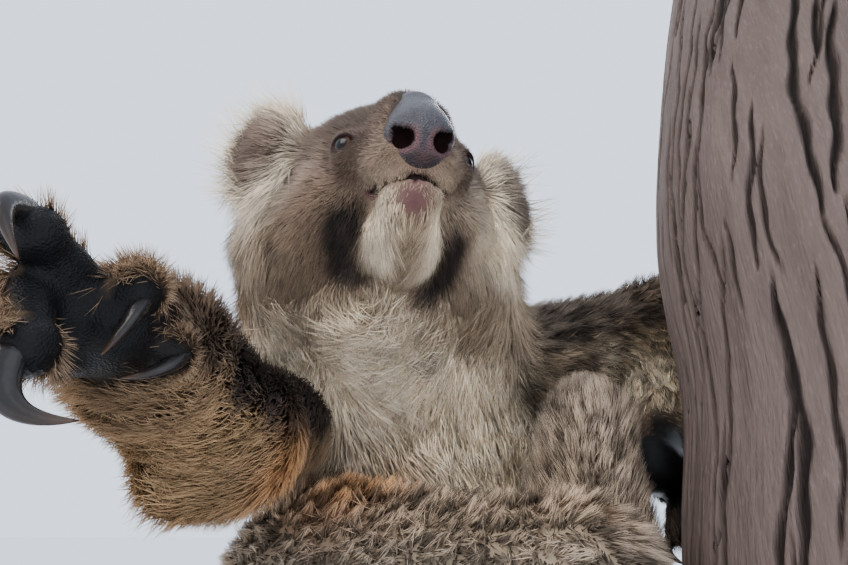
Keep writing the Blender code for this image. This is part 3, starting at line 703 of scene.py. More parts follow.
def flow(points, normals, weights):  # which way the hair lies
    down = np.array((0.0, 0.0, -1.0))
    fromNose = unit(points - headPoint(0.003, 0.085, 0.002))
    lower = smooth(-0.005, -0.045, inHead(points)[:, 2])[:, None]
    front = smooth(-0.2, 0.3, normals @ np.array((0.30, -0.95, 0.0)))[:, None]
    wrist = np.array(joints["armRight"][2])
    ways = {
        "head": fromNose + lower * down * 0.9,
        "jaw": 0.35 * down + unit(headPoint(0.004, 0.020, -0.100) - points) + 0.15 * fromNose,
        "neck": down + 0.35 * unit((points - np.array((-0.095, 0.03, 0.42))) * (1.0, 1.0, 0.0)),
        "torso": down + 0.6 * unit(np.array((0.015, -0.060, 0.330)) - points) * front,
        "legLeft": -along(points, "legLeft") * 0.2 + np.array((0.0, -0.2, 0.9)),
        "hand_right": unit(np.array(rightHand["palm"]) - wrist) + 0.3 * down,
    }
    for side, name in ((-1, "earRight"), (1, "earLeft")):
        out, f, u = ear["places"][side]
        middle = headPoint(side * (out - 0.020), f, u - 0.004)
        ways[name] = unit(points - middle) * 1.3 + np.array(left) * side * 0.35
    for name in ("armRight", "armLeft", "legRight"):
        ways[name] = along(points, name) + 0.45 * down
    for name, paw in paws.items():
        ways[name] = unit(onTrunk(*paw["sole"][1], 0.01) - np.array(paw["wrist"]))
    return sum(ways[name] * weights[:, [k]] for k, name in enumerate(regionNames))


def blended(weights, key):
    return weights @ np.array([regions[name][key] for name in regionNames])


def rootPlaces():  # random roots over the furry skin, dense where the hair is fine
    mesh = skin.data
    mesh.calc_loop_triangles()
    count = len(mesh.loop_triangles)
    corners, loops = (read(mesh.loop_triangles, key, 3, int) for key in ("vertices", "loops"))
    uv = read(mesh.uv_layers["OFBake"].data, "uv", 2)
    a, b, c = (skinPoints[corners[:, k]] for k in range(3))
    area = np.linalg.norm(np.cross(b - a, c - a), axis=1) / 2
    wanted = (1 - np.clip(bare.sum(axis=1), 0, 1)) ** 2
    wanted *= smooth(-0.001, 0.003, trunkGap(skinPoints))
    padGap = np.minimum(*(reach(skinPoints, shape) for shape in nose["shapes"]))
    wanted *= smooth(0.0, 0.002, padGap)
    ahead = skinNormals @ np.array((0.1, -0.9, -0.42))
    wanted *= 0.72 + 0.56 * smooth(-0.5, 0.4, ahead)  # fuller on the side that faces forwards
    furry = area * wanted[corners].mean(axis=1)
    mine = skinWeights[corners].mean(axis=1)
    picked = []
    for k, name in enumerate(regionNames):
        chance = furry * mine[:, k]
        picked.append(draw.choice(count, regions[name]["tufts"], p=chance / chance.sum()))
    picked = np.concatenate(picked)
    mix = draw.dirichlet((1, 1, 1), len(picked))

    def spread(values):
        return sum(values[corners[picked, k]] * mix[:, [k]] for k in range(3))

    places = sum(uv[loops[picked, k]] * mix[:, [k]] for k in range(3))
    return spread(skinPoints), unit(spread(skinNormals)), spread(skinWeights), places


def growCoat():
    points, normals, weights, places = rootPlaces()
    number = len(points)
    marks = markings(points, normals, weights)
    share = dict(zip(regionNames, weights.T))
    length, depth, width = (blended(weights, key) * draw.uniform(*coat[key], number)
                            for key in ("length", "depth", "width"))
    clump = blended(weights, "clump")
    shank = share["legRight"] * smooth(-0.030, 0.030, points[:, 0])
    curl = (blended(weights, "curl") * (1 - 0.7 * shank))[:, None]
    # short on the muzzle, round eyes and mouth, and in the crease of the throat
    ahead = inHead(points)[:, 1]
    close = 0.8 * smooth(0.018, 0.060, ahead) * share["head"] + patch(points, "eyes")
    close = np.clip(close + smooth(0.016, 0.003, mouthGap(points)), 0, 1)
    crease = np.clip(4 * share["jaw"] * share["neck"] + patch(points, "throat"), 0, 1)
    short = (1 - coat["shorter"]["face"] * close) * (1 - coat["shorter"]["throat"] * crease)
    length, depth, width = length * short, depth * short, width * (0.6 + 0.4 * short)
    rim = fringe(points) * (share["earRight"] + share["earLeft"])
    beard = share["jaw"] * smooth(0.050, 0.000, ahead)
    length *= (1 + coat["longer"]["rim"] * rim) * (1 + coat["longer"]["beard"] * beard)
    loose, tight = (np.stack([ripple(points, size, seed + k) for k in range(3)], axis=1)
                    for size, seed in ((0.030, 20), (0.012, 60)))
    wander = loose + (tight - loose) * 0.7 * (share["legRight"] + share["armLeft"])[:, None]
    way = unit(flow(points, normals, weights)) + wander * curl * coat["wander"]
    way += draw.normal(size=(number, 3)) * coat["scatter"] * (0.6 + curl)
    way = unit(way - normals * np.sum(way * normals, axis=1, keepdims=True))
    height = np.minimum(depth, length * coat["steepest"])[:, None]
    lying = way * np.sqrt(length[:, None] ** 2 - height**2)
    tips = points + lying + normals * height
    middles = points + lying * coat["bend"][0] + normals * height * coat["bend"][1]
    # locks: tips lean together
    leaders = draw.choice(number, number // coat["perLock"], replace=False)
    tree = kdtree.KDTree(len(leaders))
    for index, leader in enumerate(leaders):
        tree.insert(tips[leader], index)
    tree.balance()
    lock = np.array([tree.find(tip)[1] for tip in tips])
    toLead = tips[leaders][lock] - tips
    apart = np.linalg.norm(toLead, axis=1)
    pull = clump * draw.uniform(*coat["pull"], number) * (1 - 0.5 * shank)
    pull = (np.clip(pull, 0, coat["mostPull"]) * (apart < coat["lockReach"]))[:, None]
    tips += toLead * pull + draw.normal(size=(number, 3)) * coat["stray"]
    middles += toLead * pull * (1 - pull) * 0.25
    # tints: painted shade between locks, and darker in the knots of the woolly limbs
    woolly = share["legRight"] + share["legLeft"] + share["armLeft"]
    cleftShade = smooth(0.0015, 0.0085, apart) * clump * (1 - 0.4 * shank)
    knots = smooth(0.0, 0.40, ripple(points * (1.0, 1.0, 1.5), 0.012, 77))
    tint = tints["middle"] + draw.normal(size=len(leaders))[lock] * tints["lock"] * (1 + woolly)
    tint += tints["hair"] * draw.normal(size=number) + tints["woolly"] * woolly
    tint += tints["cream"] * marks[:, 0] * (1 - woolly) - tints["knots"] * woolly * knots
    tint -= (tints["cleftShade"][0] + tints["cleftShade"][1] * woolly) * cleftShade
    keep = trunkGap(tips) >= -0.0005
    parts = (points, normals, places, marks, middles, tips, width, np.clip(tint, 0, 1))
    return weights[keep].argmax(axis=1), [values[keep] for values in parts]


def coatPiece(name, chosen, tuft, material):
    points, normals, places, marks, middles, tips, width, tint = (v[chosen] for v in coatData)
    number = len(points)
    lean = unit(tips - points)
    across = unit(np.cross(normals, lean))
    over = np.cross(lean, across)
    angles = math.tau * np.arange(sides) / sides
    size = tuft["corners"]
    corners = np.empty((number, size, 3))
    lower = points - normals * coat["rootDepth"]
    for k, angle in enumerate(angles):
        offset = across * math.cos(angle) + over * (math.sin(angle) * coat["flat"])
        corners[:, k] = lower + offset * width[:, None]
        if tuft is bentTuft:
            corners[:, k + sides] = middles + offset * (width * coat["middle"])[:, None]
    corners[:, -1] = tips
    sizes = np.array([len(face) for face in tuft["faces"]])
    flat = np.concatenate([np.array(face) for face in tuft["faces"]])
    vertices = (np.arange(number)[:, None] * size + flat[None]).ravel()
    starts = np.concatenate([[0], np.cumsum(sizes)[:-1]])
    starts = (np.arange(number)[:, None] * sizes.sum() + starts[None]).ravel()
    mesh = bpy.data.meshes.new(name)
    mesh.vertices.add(number * size)
    mesh.vertices.foreach_set("co", corners.astype(np.float32).ravel())
    mesh.loops.add(len(vertices))
    mesh.loops.foreach_set("vertex_index", vertices.astype(np.int32))
    mesh.polygons.add(len(starts))
    mesh.polygons.foreach_set("loop_start", starts.astype(np.int32))
    mesh.polygons.foreach_set("use_smooth", np.ones(len(starts), dtype=bool))
    mesh.update(calc_edges=True)
    patchCorners = np.array([corner for face in tuft["patch"] for corner in face]) - 0.5
    uv = places[:, None] + patchCorners[None] * coat["patch"]
    mesh.uv_layers.new(name="OFBake").data.foreach_set("uv", uv.astype(np.float32).ravel())
    attribute(mesh, "marks", np.repeat(marks, size, axis=0))
    rise = np.tile(tuft["rise"], number)
    strand = np.stack([rise, np.repeat(tint, size), rise * 0, rise * 0 + 1], axis=1)
    attribute(mesh, "strand", strand)
    mesh.materials.append(material)
    obj = newObject(name, mesh)
    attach(obj, "root")
    return obj


# finishes
def put(tree, socket, value):  # a value is a socket to link, a colour or a constant
    if isinstance(value, bpy.types.NodeSocket):
        tree.links.new(value, socket)
    elif socket.type == "RGBA":
        socket.default_value = (*value, 1.0)
    else:
        socket.default_value = value


def node(tree, kind, **values):
    made = tree.nodes.new(kind)
    for key, value in values.items():
        if hasattr(made, key):
            setattr(made, key, value)
        else:
            put(tree, made.inputs[key.replace("_", " ")], value)
    return made


def newMaterial(name, **values):
    material = bpy.data.materials.new(name)
    material.use_nodes = True
    shader = material.node_tree.nodes["Principled BSDF"]
    finish(material.node_tree, shader, **values)
    return material, material.node_tree, shader


def finish(tree, shader, **values):
    for key, value in values.items():
        put(tree, shader.inputs[key.replace("_", " ")], value)


def mixColour(tree, factor, one, other):  # one towards other by factor
    made = node(tree, "ShaderNodeMix", data_type="RGBA", blend_type="MIX")
    for index, value in ((0, factor), (6, one), (7, other)):
        put(tree, made.inputs[index], value)
    return made.outputs[2]


def calculate(tree, operation, *values):
    made = node(tree, "ShaderNodeMath", operation=operation)
    for socket, value in zip(made.inputs, values):
        put(tree, socket, value)
    return made.outputs[0]


def scaled(tree, value, factor, start=0.0):
    return calculate(tree, "MULTIPLY_ADD", value, factor, start)


def layered(tree, colour, *layers):  # each layer is a mask and the colour it brings
    for mask, other in layers:
        colour = mixColour(tree, mask, colour, other)
    return colour


def coordinates(tree, **mapping):
    where = node(tree, "ShaderNodeTexCoord").outputs["Object"]
    if mapping:
        where = node(tree, "ShaderNodeMapping", Vector=where, **mapping).outputs["Vector"]
    return where


def noise(tree, scale, detail=4.0, stretch=None):
    where = coordinates(tree, Scale=stretch) if stretch else coordinates(tree)
    made = node(tree, "ShaderNodeTexNoise", Scale=scale, Detail=detail, Vector=where)
    return made.outputs["Fac"]


def pebbles(tree, scale):
    made = node(tree, "ShaderNodeTexVoronoi", Scale=scale, Vector=coordinates(tree))
    return made.outputs["Distance"]


def bump(tree, height, shader, distance, strength=1.0):
    made = node(tree, "ShaderNodeBump", Distance=distance, Strength=strength, Height=height)
    finish(tree, shader, Normal=made.outputs["Normal"])


def painted(tree, name, output="Fac"):
    return node(tree, "ShaderNodeAttribute", attribute_name=name).outputs[output]


def channels(tree, colour):
    made = node(tree, "ShaderNodeSeparateColor")
    put(tree, made.inputs[0], colour)
    return made.outputs


def newGroup(name, kind, inputs, output):
    group = bpy.data.node_groups.new(name, kind)
    for title, socket in inputs.items():
        group.interface.new_socket(title, in_out="INPUT", socket_type="NodeSocket" + socket)
    group.interface.new_socket(output, in_out="OUTPUT", socket_type="NodeSocket" + output)
    return group, node(group, "NodeGroupInput").outputs, node(group, "NodeGroupOutput").inputs[0]


furColours = {
    "grey": ((0.024, 0.014, 0.010), (0.280, 0.198, 0.150)),  # root, tip
    "cream": ((0.800, 0.630, 0.430), (1.000, 0.890, 0.690)),
    "tan": ((0.130, 0.072, 0.032), (0.430, 0.285, 0.150)),
    "dark": ((0.006, 0.005, 0.005), (0.055, 0.040, 0.032)),
    "rust": ((0.260, 0.110, 0.045), (0.720, 0.390, 0.170)),
}


def furGroup():  # the markings' colours, from root to tip, for skin and coat alike
    group, given, result = newGroup("fur colour", "ShaderNodeTree", {
        "Marks": "Color", "Rust": "Float", "Along": "Float", "Tint": "Float"}, "Color")
    cream, dark, tan = channels(group, given["Marks"])
    strands = {name: mixColour(group, given["Along"], *ends) for name, ends in furColours.items()}
    colour = layered(group, strands["grey"], (given["Rust"], strands["rust"]),
                     (tan, strands["tan"]), (cream, strands["cream"]), (dark, strands["dark"]))
    shade = node(group, "ShaderNodeMapRange", To_Min=0.22, To_Max=1.70, Value=given["Tint"])
    patchy = scaled(group, noise(group, 60.0), 0.5, 0.75)
    amount = calculate(group, "MULTIPLY", shade.outputs[0], patchy)
    shaded = node(group, "ShaderNodeVectorMath", operation="SCALE", Scale=amount)
    put(group, shaded.inputs[0], colour)
    put(group, result, shaded.outputs[0])
    return group


furShades = furGroup()


def furNodes(tree, along, tint):
    made = node(tree, "ShaderNodeGroup", node_tree=furShades, Along=along, Tint=tint,
                Marks=painted(tree, "marks", "Color"), Rust=painted(tree, "marks", "Alpha"))
    return made.outputs[0]


def furMaterial():
    material, tree, shader = newMaterial("fur", Roughness=0.72, Specular_IOR_Level=0.25)
    along, tint, _ = channels(tree, painted(tree, "strand", "Color"))
    finish(tree, shader, Base_Color=furNodes(tree, along, tint))
    return material


def skinMaterial():
    material, tree, shader = newMaterial("skin", Specular_IOR_Level=0.10)
    pads, lips, lids = channels(tree, painted(tree, "bare", "Color"))
    leather = mixColour(tree, noise(tree, 150.0, 6.0), (0.0015, 0.0018, 0.0022),
                        (0.007, 0.007, 0.008))
    pink = mixColour(tree, noise(tree, 160.0), (0.070, 0.028, 0.031), (0.150, 0.066, 0.070))
    creases = calculate(tree, "ADD", pebbles(tree, 1100.0), noise(tree, 90.0, 6.0))
    bump(tree, creases, shader, 0.00040, 0.7)
    finish(tree, shader, Roughness=scaled(tree, pads, -0.26, 0.68),
           Base_Color=layered(tree, furNodes(tree, 0.22, 0.45), (pads, leather), (lips, pink),
                              (lids, (0.020, 0.011, 0.010))))
    return material


skin.data.materials.append(skinMaterial())
fleshNodes = ["head", "neck", "lower_jaw", "ear_right", "ear_left", "chest", "belly", "rump"]
for side in ("right", "left"):
    fleshNodes += [f"{part}_{side}" for part in ("upper_arm", "forearm", "thigh", "shin", "hand",
                                                 "foot")]
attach(skin, "root")
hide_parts(*fleshNodes)

owner, coatData = growCoat()
fur = furMaterial()
coatParts = {
    "coat_head": ("head",), "coat_jaw": ("jaw",), "coat_ears": ("earRight", "earLeft"),
    "coat_neck": ("neck",), "coat_torso": ("torso",), "coat_arm_right": ("armRight",),
    "coat_arm_left": ("armLeft",), "coat_leg_right": ("legRight",),
    "coat_leg_left": ("legLeft",), "coat_paws": ("hand_right", *paws)}
for name, names in coatParts.items():
    chosen = np.flatnonzero(np.isin(owner, [regionNames.index(part) for part in names]))
    tuft = bentTuft if regions[names[0]]["bent"] else straightTuft
    groups = max(1, math.ceil(len(chosen) * tuft["triangles"] / coat["mostTriangles"]))
    for index, group in enumerate(np.array_split(chosen, groups)):
        coatPiece(f"{name}_{index + 1}", group, tuft, fur)
    print(name, len(chosen), "tufts in", groups, "pieces")


def eyeMaterial():
    material, tree, shader = newMaterial("eye", Roughness=0.14, Specular_IOR_Level=0.20)
    ramp = node(tree, "ShaderNodeValToRGB")
    elements = ramp.color_ramp.elements
    stops = ((0.0, (0.012, 0.008, 0.007)), (0.36, (0.014, 0.008, 0.006)),
             (0.46, (0.052, 0.022, 0.010)), (0.72, (0.034, 0.014, 0.007)),
             (0.80, (0.003, 0.002, 0.002)))
    for index, (place, colour) in enumerate(stops):
        stop = elements[index] if index < 2 else elements.new(place)
        stop.position, stop.color = place, (*colour, 1.0)
    put(tree, ramp.inputs[0], scaled(tree, noise(tree, 900.0, 3.0), 0.06, painted(tree, "gaze")))
    finish(tree, shader, Base_Color=ramp.outputs[0])
    return material


eyeFinish = eyeMaterial()
for side, name in ((-1, "right"), (1, "left")):
    bm = bmesh.new()
    bmesh.ops.create_uvsphere(bm, u_segments=48, v_segments=32, radius=eye["radius"])
    bmesh.ops.translate(bm, vec=Vector(eyePoint(side)), verts=bm.verts)
    mesh = meshFrom(bm, "eyeball")
    mesh.shade_smooth()
    facing = unit(read(mesh.vertices, "co", 3) - eyePoint(side)) @ eyeLook(side)
    attribute(mesh, "gaze", smooth(0.60, 1.0, facing) * 0.96, "FLOAT")
    mesh.materials.append(eyeFinish)
    eyeball = newObject(f"eyeball_{name}", mesh)
    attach(eyeball, "root")
    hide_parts(f"eye_{name}")
print("eyes")


def nostrilGap(points):  # to the holes: round ones, each with a slit that curls up and out of it
    inner, outer = nose["radii"]
    gaps = []
    for hole, comma in zip(nose["nostrils"], nose["commas"]):
        deep = np.array(hole) + np.array(nose["inward"])
        gaps.append(reach(points, headCone(hole, deep, inner, inner * 0.8)))
        gaps.append(reach(points, headCone(hole, comma, inner * 0.9, outer)))
    return np.min(gaps, axis=0)


def noseField(points):
    total = join(*(reach(points, shape) for shape in nose["shapes"]), nose["blend"])
    total = -join(-total, nostrilGap(points), 0.003)
    groove = headCone((0.003, 0.0875, -0.016), (0.003, 0.072, -0.031), 0.0013, 0.0016)
    return -join(-total, reach(points, groove), 0.002)


def noseMaterial():
    material, tree, shader = newMaterial("nose leather", Specular_IOR_Level=0.30)
    pink, hole, grain = painted(tree, "pink"), painted(tree, "hole"), pebbles(tree, 900.0)
    leather = mixColour(tree, noise(tree, 300.0, 6.0), (0.012, 0.012, 0.015),
                        (0.078, 0.074, 0.086))
    bump(tree, grain, shader, 0.0008, 0.9)
    # the holes' near-black is painted shade
    finish(tree, shader, Roughness=scaled(tree, hole, 0.45, 0.40), Base_Color=layered(
        tree, leather, (scaled(tree, pink, 0.80), (0.170, 0.072, 0.074)),
        (scaled(tree, grain, 0.55), (0.012, 0.011, 0.013)), (hole, (0.006, 0.003, 0.003))))
    return material


# near-black painted shade for the insides of the nostrils
def nostrilShadeMaterial():
    material, tree, shader = newMaterial("nostril", Roughness=0.85, Specular_IOR_Level=0.0)
    colour = mixColour(tree, noise(tree, 300.0), (0.004, 0.002, 0.002), (0.008, 0.004, 0.004))
    finish(tree, shader, Base_Color=colour)
    bump(tree, noise(tree, 500.0), shader, 0.0003, 0.6)
    return material


nosePad = roughBody("nose_pad", nose["shapes"], nose["voxel"])
settle(nosePad.data, noseField, 4, hold=0.4, step=0.0002)
nosePad.data.shade_smooth()
nosePoints = read(nosePad.data.vertices, "co", 3)
noseHeights, holeGaps = inHead(nosePoints)[:, 2], nostrilGap(nosePoints)
# hole: painted shade in the nostrils, and darker towards the bottom of the pad
holes = np.maximum(smooth(0.0016, 0.0002, holeGaps), 0.65 * smooth(-0.017, -0.024, noseHeights))
rims = smooth(0.0060, 0.0015, holeGaps) * smooth(-0.006, -0.014, noseHeights)
rims += patch(nosePoints, "noseFoot")
attribute(nosePad.data, "pink", np.clip(rims, 0, 1), "FLOAT")
attribute(nosePad.data, "hole", holes, "FLOAT")
nosePad.data.materials.append(noseMaterial())
nosePad.data.materials.append(nostrilShadeMaterial())
# faces deep in the holes take the painted nostril shade
inHole = holeGaps < nose["dark"]
for face in nosePad.data.polygons:
    face.material_index = int(all(inHole[corner] for corner in face.vertices))
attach(nosePad, "root")
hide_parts("nose")
print("nose:", len(nosePad.data.polygons), "faces")

# claws: deep, curved and smooth, brown at the point
claw = {"radius": 0.0050, "large": 0.0058, "sides": 16, "rings": 18, "narrow": 0.75,
        "taper": 0.7, "steps": ((1.04, 0.012), (1.34, 0.022), (1.50, 0.002))}
# steps: along a digit and out from the bark. The large ones are the free hand's fingers


def clawPaths():
    paths = {f"hand_right_claw_{digit}": path for digit, path in rightHand["claws"].items()}
    for name, paw in paws.items():
        for digit in filter(None, paw["digits"]):
            paths[f"{name}_claw_{digit}"] = [pawPath(paw, digit, *step) for step in claw["steps"]]
    return paths


def clawMaterial():
    material, tree, shader = newMaterial("claw horn", Roughness=0.26, Specular_IOR_Level=0.28)
    dark = mixColour(tree, noise(tree, 260.0, 5.0, (1, 1, 0.3)), (0.003, 0.003, 0.0035),
                     (0.016, 0.014, 0.014))
    late = calculate(tree, "POWER", painted(tree, "toPoint"), 5.0)
    finish(tree, shader, Base_Color=mixColour(tree, late, dark, (0.060, 0.034, 0.020)))
    bump(tree, noise(tree, 420.0, 4.0), shader, 0.0003, 0.5)
    return material


clawFinish = clawMaterial()


def buildClaw(name, path):
    start, bend, tip = (np.array(place) for place in path)
    thick = claw["large" if name[:-1] == "hand_right_claw_" and name[-1] in "345" else "radius"]
    across = unit(np.cross(bend - start, tip - bend))
    t = (np.arange(claw["rings"]) / claw["rings"])[:, None]
    middle = start * (1 - t) ** 2 + bend * (2 * t * (1 - t)) + tip * t**2
    over = np.cross(across, unit((bend - start) * (1 - t) + (tip - bend) * t))
    turns = (math.tau * np.arange(claw["sides"]) / claw["sides"])[:, None]
    oval = over[:, None] * np.cos(turns) + across * (np.sin(turns) * claw["narrow"])
    rings = middle[:, None] + oval * (thick * (1 - t) ** claw["taper"])[:, None]
    mesh = loft(name, rings, (None, tip))
    mesh.shade_smooth()
    attribute(mesh, "toPoint", [*np.repeat(t, claw["sides"]), 1.0], "FLOAT")
    mesh.materials.append(clawFinish)
    obj = newObject(name.replace("claw_", "nail_"), mesh)
    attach(obj, "root")
    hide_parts(name)


for name, path in clawPaths().items():
    buildClaw(name, path)
print("claws")


# the trunk: weathered wood with long cracks
cracks = {"number": 330, "tall": (0.025, 0.110), "wide": (0.0009, 0.0014), "slant": (0.70, 0.40),
          "waves": ((0.016, 48, 1), (0.007, 130, 3)), "depth": 0.0055}
barkSettings = {"inset": 0.0014, "grain": ((0.009, 40, 0.0005), (0.035, 50, 0.0010)),
                "wornEdge": 0.0022, "endRings": (0.2, 0.4, 0.6, 0.8)}


def crackDepth(angle, height):  # how deep the surface is cut, from 0 to 1
    cuts = np.zeros_like(angle)
    chance = np.random.default_rng(5)
    for _ in range(cracks["number"]):
        middle = chance.uniform(trunk["bottom"], trunk["top"])
        tall, place = chance.uniform(*cracks["tall"]), chance.uniform(0, math.tau)
        wide = cracks["wide"][0] + cracks["wide"][1] * chance.uniform() ** 4
        slant, phase = chance.normal(*cracks["slant"]), chance.uniform(0, math.tau)
        path = place + slant * (height - middle) + sum(
            size * np.sin(height * pace + phase * turn) for size, pace, turn in cracks["waves"])
        off = (angle - path + math.pi) % math.tau - math.pi
        taper = np.clip(1 - ((height - middle) / tall) ** 2, 0, 1)
        opening = wide * (0.45 + taper) * (0.75 + 0.4 * np.sin(height * 95 + phase * 5) ** 2)
        cut = np.clip(1.35 - np.abs(off) * trunk["radius"] / opening, 0, 1)
        cut *= smooth(0.0, 0.25, taper) * min(1.0, 0.50 + wide / 0.0030)
        cuts = np.maximum(cuts, cut)
    return cuts


def buildTrunk():
    across, rows = trunk["sides"], trunk["rings"]
    angle, height = (grid.ravel() for grid in np.meshgrid(
        np.linspace(0, math.tau, across, endpoint=False),
        np.linspace(trunk["bottom"], trunk["top"], rows + 1)))
    cuts = crackDepth(angle, height)
    spokes = np.stack([np.cos(angle), np.sin(angle), 0 * angle], axis=1)
    bark = spokes * 0.11 + height[:, None] * (0.0, 0.0, 0.14)
    radius = trunkRadius(angle, height) - barkSettings["inset"] - cuts * cracks["depth"]
    radius += sum(ripple(bark, size, seed) * high for size, seed, high in barkSettings["grain"])
    edge = np.minimum(height - trunk["bottom"], trunk["top"] - height)
    radius -= barkSettings["wornEdge"] * smooth(0.006, 0.0, edge)
    rings = (trunkMiddle(height) + spokes * radius[:, None]).reshape(-1, across, 3)
    ends = [trunkMiddle(np.float64(trunk[key])) for key in ("bottom", "top")]
    caps = [[end + (ring - end) * share for share in barkSettings["endRings"]]
            for end, ring in zip(ends, (rings[0], rings[-1]))]
    mesh = loft("trunk_wood", [*caps[0], *rings, *caps[1][::-1]], ends)
    first = len(caps[0]) * across  # where the bark starts, in vertices and in faces
    shade, kinds = np.zeros(len(mesh.vertices)), np.ones(len(mesh.polygons), dtype=np.int32)
    shade[first:first + len(cuts)] = np.clip(cuts, 0, 1)
    kinds[first:first + rows * across] = 0
    attribute(mesh, "crack", shade, "FLOAT")
    mesh.polygons.foreach_set("material_index", kinds)
    mesh.polygons.foreach_set("use_smooth", kinds == 0)
    return newObject("trunk_wood", mesh)


def woodMaterial():
    material, tree, shader = newMaterial("weathered wood", Roughness=0.88, Specular_IOR_Level=0.2)
    crack = painted(tree, "crack")
    streaks, fine = noise(tree, 95.0, 9.0, (1, 1, 0.08)), noise(tree, 560.0, 6.0, (1, 1, 0.12))
    pale = mixColour(tree, streaks, (0.050, 0.036, 0.032), (0.230, 0.176, 0.160))
    broad, worn = noise(tree, 9.0, 6.0, (1, 1, 0.45)), noise(tree, 26.0, 8.0, (1, 1, 0.30))
    mottle = node(tree, "ShaderNodeMapRange", interpolation_type="SMOOTHSTEP", From_Min=0.52,
                  From_Max=0.72, To_Max=0.30, Value=noise(tree, 700.0, 6.0, (1, 1, 0.20)))
    finish(tree, shader, Base_Color=layered(
        tree, pale, (scaled(tree, broad, 0.55), (0.105, 0.072, 0.058)),
        (mottle.outputs[0], (0.270, 0.215, 0.200)),
        (scaled(tree, fine, 0.40), (0.036, 0.026, 0.024)),
        # the near-black in the cracks is painted shade
        (scaled(tree, worn, 0.60), (0.060, 0.042, 0.036)), (crack, (0.010, 0.007, 0.006))))
    relief = calculate(tree, "SUBTRACT", calculate(tree, "ADD", streaks, fine), crack)
    bump(tree, relief, shader, 0.0016, 1.0)
    return material


def sawnMaterial():
    material, tree, shader = newMaterial("sawn end", Roughness=0.8)
    top = trunkMiddle(np.float64(trunk["top"]))
    rings = node(tree, "ShaderNodeTexWave", wave_type="RINGS", rings_direction="Z", Scale=32.0,
                 Distortion=2.5, Detail=3.0,
                 Vector=coordinates(tree, Location=(-top[0], -top[1], 0.0))).outputs["Fac"]
    finish(tree, shader, Base_Color=mixColour(tree, rings, (0.330, 0.225, 0.145),
                                              (0.500, 0.375, 0.260)))
    bump(tree, rings, shader, 0.0004, 0.6)
    return material


wood = buildTrunk()
wood.data.materials.append(woodMaterial())
wood.data.materials.append(sawnMaterial())
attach(wood, "root")
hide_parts("perch_trunk")
print("trunk:", len(wood.data.polygons), "faces")


# the stand
stand = {"edge": 0.0022, "collar": 0.0065, "collarWide": 0.016, "rodSides": 64,
         "screws": 6, "screwRadius": 0.0032, "screwInset": 0.0085}


def turned(name, middle, profile, material):  # round an upright axis, from foot to top
    turns = math.tau * np.arange(stand["rodSides"]) / stand["rodSides"]
    spokes = np.stack([np.cos(turns), np.sin(turns), 0 * turns], axis=1)
    mesh = loft(name, [np.array((middle[0], middle[1], height)) + spokes * radius
                       for radius, height in profile])
    mesh.shade_smooth()
    mesh.set_sharp_from_angle(angle=math.radians(35))
    mesh.materials.append(material)
    obj = newObject(name, mesh)
    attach(obj, "root")
    return obj


def steelMaterial():
    material, tree, shader = newMaterial("brushed steel", Metallic=1.0)
    brushed = noise(tree, 380.0, 4.0, (1, 1, 12))
    finish(tree, shader, Roughness=scaled(tree, brushed, 0.22, 0.22),
           Base_Color=mixColour(tree, brushed, (0.44, 0.44, 0.45), (0.64, 0.64, 0.65)))
    bump(tree, brushed, shader, 0.0001, 0.4)
    return material


def boardMaterial():
    material, tree, shader = newMaterial("satin black paint", Coat_Weight=0.2)
    colour = mixColour(tree, noise(tree, 30.0, 6.0), (0.012, 0.012, 0.013), (0.022, 0.022, 0.024))
    finish(tree, shader, Base_Color=colour,
           Roughness=scaled(tree, noise(tree, 14.0, 6.0), 0.20, 0.28))
    bump(tree, noise(tree, 700.0, 2.0), shader, 0.00008, 0.5)
    return material


def screwTree():  # screw heads round a circle
    tree, given, result = newGroup("screw ring", "GeometryNodeTree", {
        "Geometry": "Geometry", "Count": "Int", "Ring radius": "Float", "Head radius": "Float",
        "Place": "Vector", "Material": "Material"}, "Geometry")
    circle = node(tree, "GeometryNodeMeshCircle", Vertices=given["Count"],
                  Radius=given["Ring radius"])
    head = node(tree, "GeometryNodeMeshUVSphere", Segments=20, Rings=12,
                Radius=given["Head radius"])
    squash = node(tree, "GeometryNodeTransform", Geometry=head.outputs["Mesh"],
                  Scale=(1.0, 1.0, 0.45))
    copies = node(tree, "GeometryNodeInstanceOnPoints", Points=circle.outputs["Mesh"],
                  Instance=squash.outputs["Geometry"])
    moved = node(tree, "GeometryNodeTransform", Geometry=copies.outputs["Instances"],
                 Translation=given["Place"])
    real = node(tree, "GeometryNodeRealizeInstances", Geometry=moved.outputs["Geometry"])
    dressed = node(tree, "GeometryNodeSetMaterial", Geometry=real.outputs["Geometry"],
                   Material=given["Material"])
    put(tree, result, dressed.outputs["Geometry"])
    return tree


def screwRing(name, place, radius, tree, material):
    obj = newObject(name, bpy.data.meshes.new(name))
    ring = obj.modifiers.new("screws", "NODES")
    ring.node_group = tree
    values = {"Count": stand["screws"], "Ring radius": radius, "Head radius": stand["screwRadius"],
              "Place": place, "Material": material}
    for item in tree.interface.items_tree:
        if item.name in values:
            ring[item.identifier] = values[item.name]
    freeze(obj)
    obj.data.shade_smooth()
    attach(obj, "root")


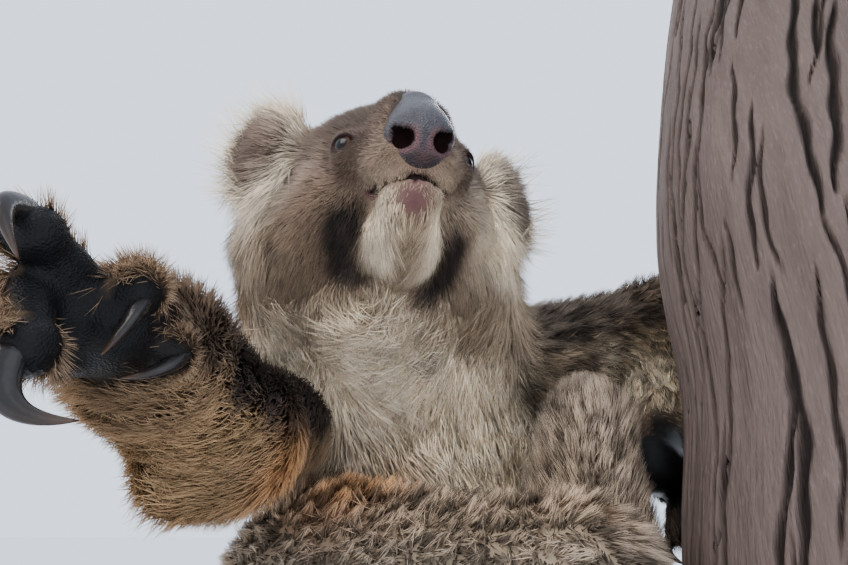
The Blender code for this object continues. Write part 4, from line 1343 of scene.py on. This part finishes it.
steel = steelMaterial()
screws = screwTree()
for nodeName in ("stand_rod_perch", "stand_rod_body"):
    low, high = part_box(nodeName)
    middle, radius = (low + high) / 2, (high.x - low.x) / 2
    wide, tall = radius + stand["collarWide"], low.z + stand["collar"]
    rod = turned(nodeName.replace("stand_", "turned_"), middle, (
        (wide, low.z), (wide, tall - 0.001), (wide - 0.001, tall), (radius + 0.003, tall),
        (radius, tall + 0.003), (radius, high.z)), steel)
    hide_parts(nodeName)
    screwRing(nodeName.replace("stand_", "screws_"), (middle.x, middle.y, tall),
              wide - stand["screwInset"], screws, steel)
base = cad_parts["stand_base"]
base.data.materials.clear()
base.data.materials.append(boardMaterial())
whole = base.modifiers.new("whole", "WELD")
whole.merge_threshold = 0.00005
rounded = base.modifiers.new("rounded edges", "BEVEL")
rounded.width = stand["edge"]
rounded.segments = 3
rounded.limit_method = "ANGLE"
rounded.angle_limit = math.radians(50)
print("stand")

# floor, light and camera
studio = {"floor": (0.93, 0.93, 0.94), "sky": (0.78, 0.86, 1.00), "skyStrength": 1.85,
          "camera": (-0.08, -0.50, 0.30), "upwards": 22.0, "lens": 25.98}


def areaLight(name, place, target, size, power, colour=(1, 1, 1)):
    data = bpy.data.lights.new(name, "AREA")
    data.size = size
    data.energy = power
    data.color = colour
    lamp = newObject(name, data)
    lamp.location = place
    lamp.rotation_euler = (Vector(target) - Vector(place)).to_track_quat("-Z", "Y").to_euler()


world = bpy.data.worlds.new("studio")
bpy.context.scene.world = world
world.use_nodes = True
world.node_tree.nodes["Background"].inputs["Color"].default_value = (*studio["sky"], 1.0)
world.node_tree.nodes["Background"].inputs["Strength"].default_value = studio["skyStrength"]
aim = (-0.06, -0.05, 0.40)
areaLight("key", (-1.1, -1.5, 1.7), aim, 1.3, 46, (1.0, 0.92, 0.82))
areaLight("fill", (1.2, -1.4, 0.9), aim, 1.6, 10, (0.95, 0.97, 1.0))
areaLight("rim", (0.4, 1.6, 1.7), aim, 1.2, 40)

floorMesh = bpy.data.meshes.new("floor")
floorMesh.from_pydata([(-30, -30, 0), (30, -30, 0), (30, 30, 0), (-30, 30, 0)], [], [(0, 1, 2, 3)])
floorMaterial, floorTree, floorShader = newMaterial("pale floor", Roughness=0.7)
finish(floorTree, floorShader, Base_Color=mixColour(
    floorTree, noise(floorTree, 3.0), studio["floor"], tuple(0.97 * c for c in studio["floor"])))
floorMesh.materials.append(floorMaterial)
newObject("floor", floorMesh)

cameraData = bpy.data.cameras.new("camera")
cameraData.sensor_width = 36.0
cameraData.lens = studio["lens"]
cameraData.clip_start = 0.01
camera = newObject("camera", cameraData)
camera.location = studio["camera"]
camera.rotation_euler = (math.radians(90 + studio["upwards"]), 0.0, 0.0)
bpy.context.scene.camera = camera
print("studio")
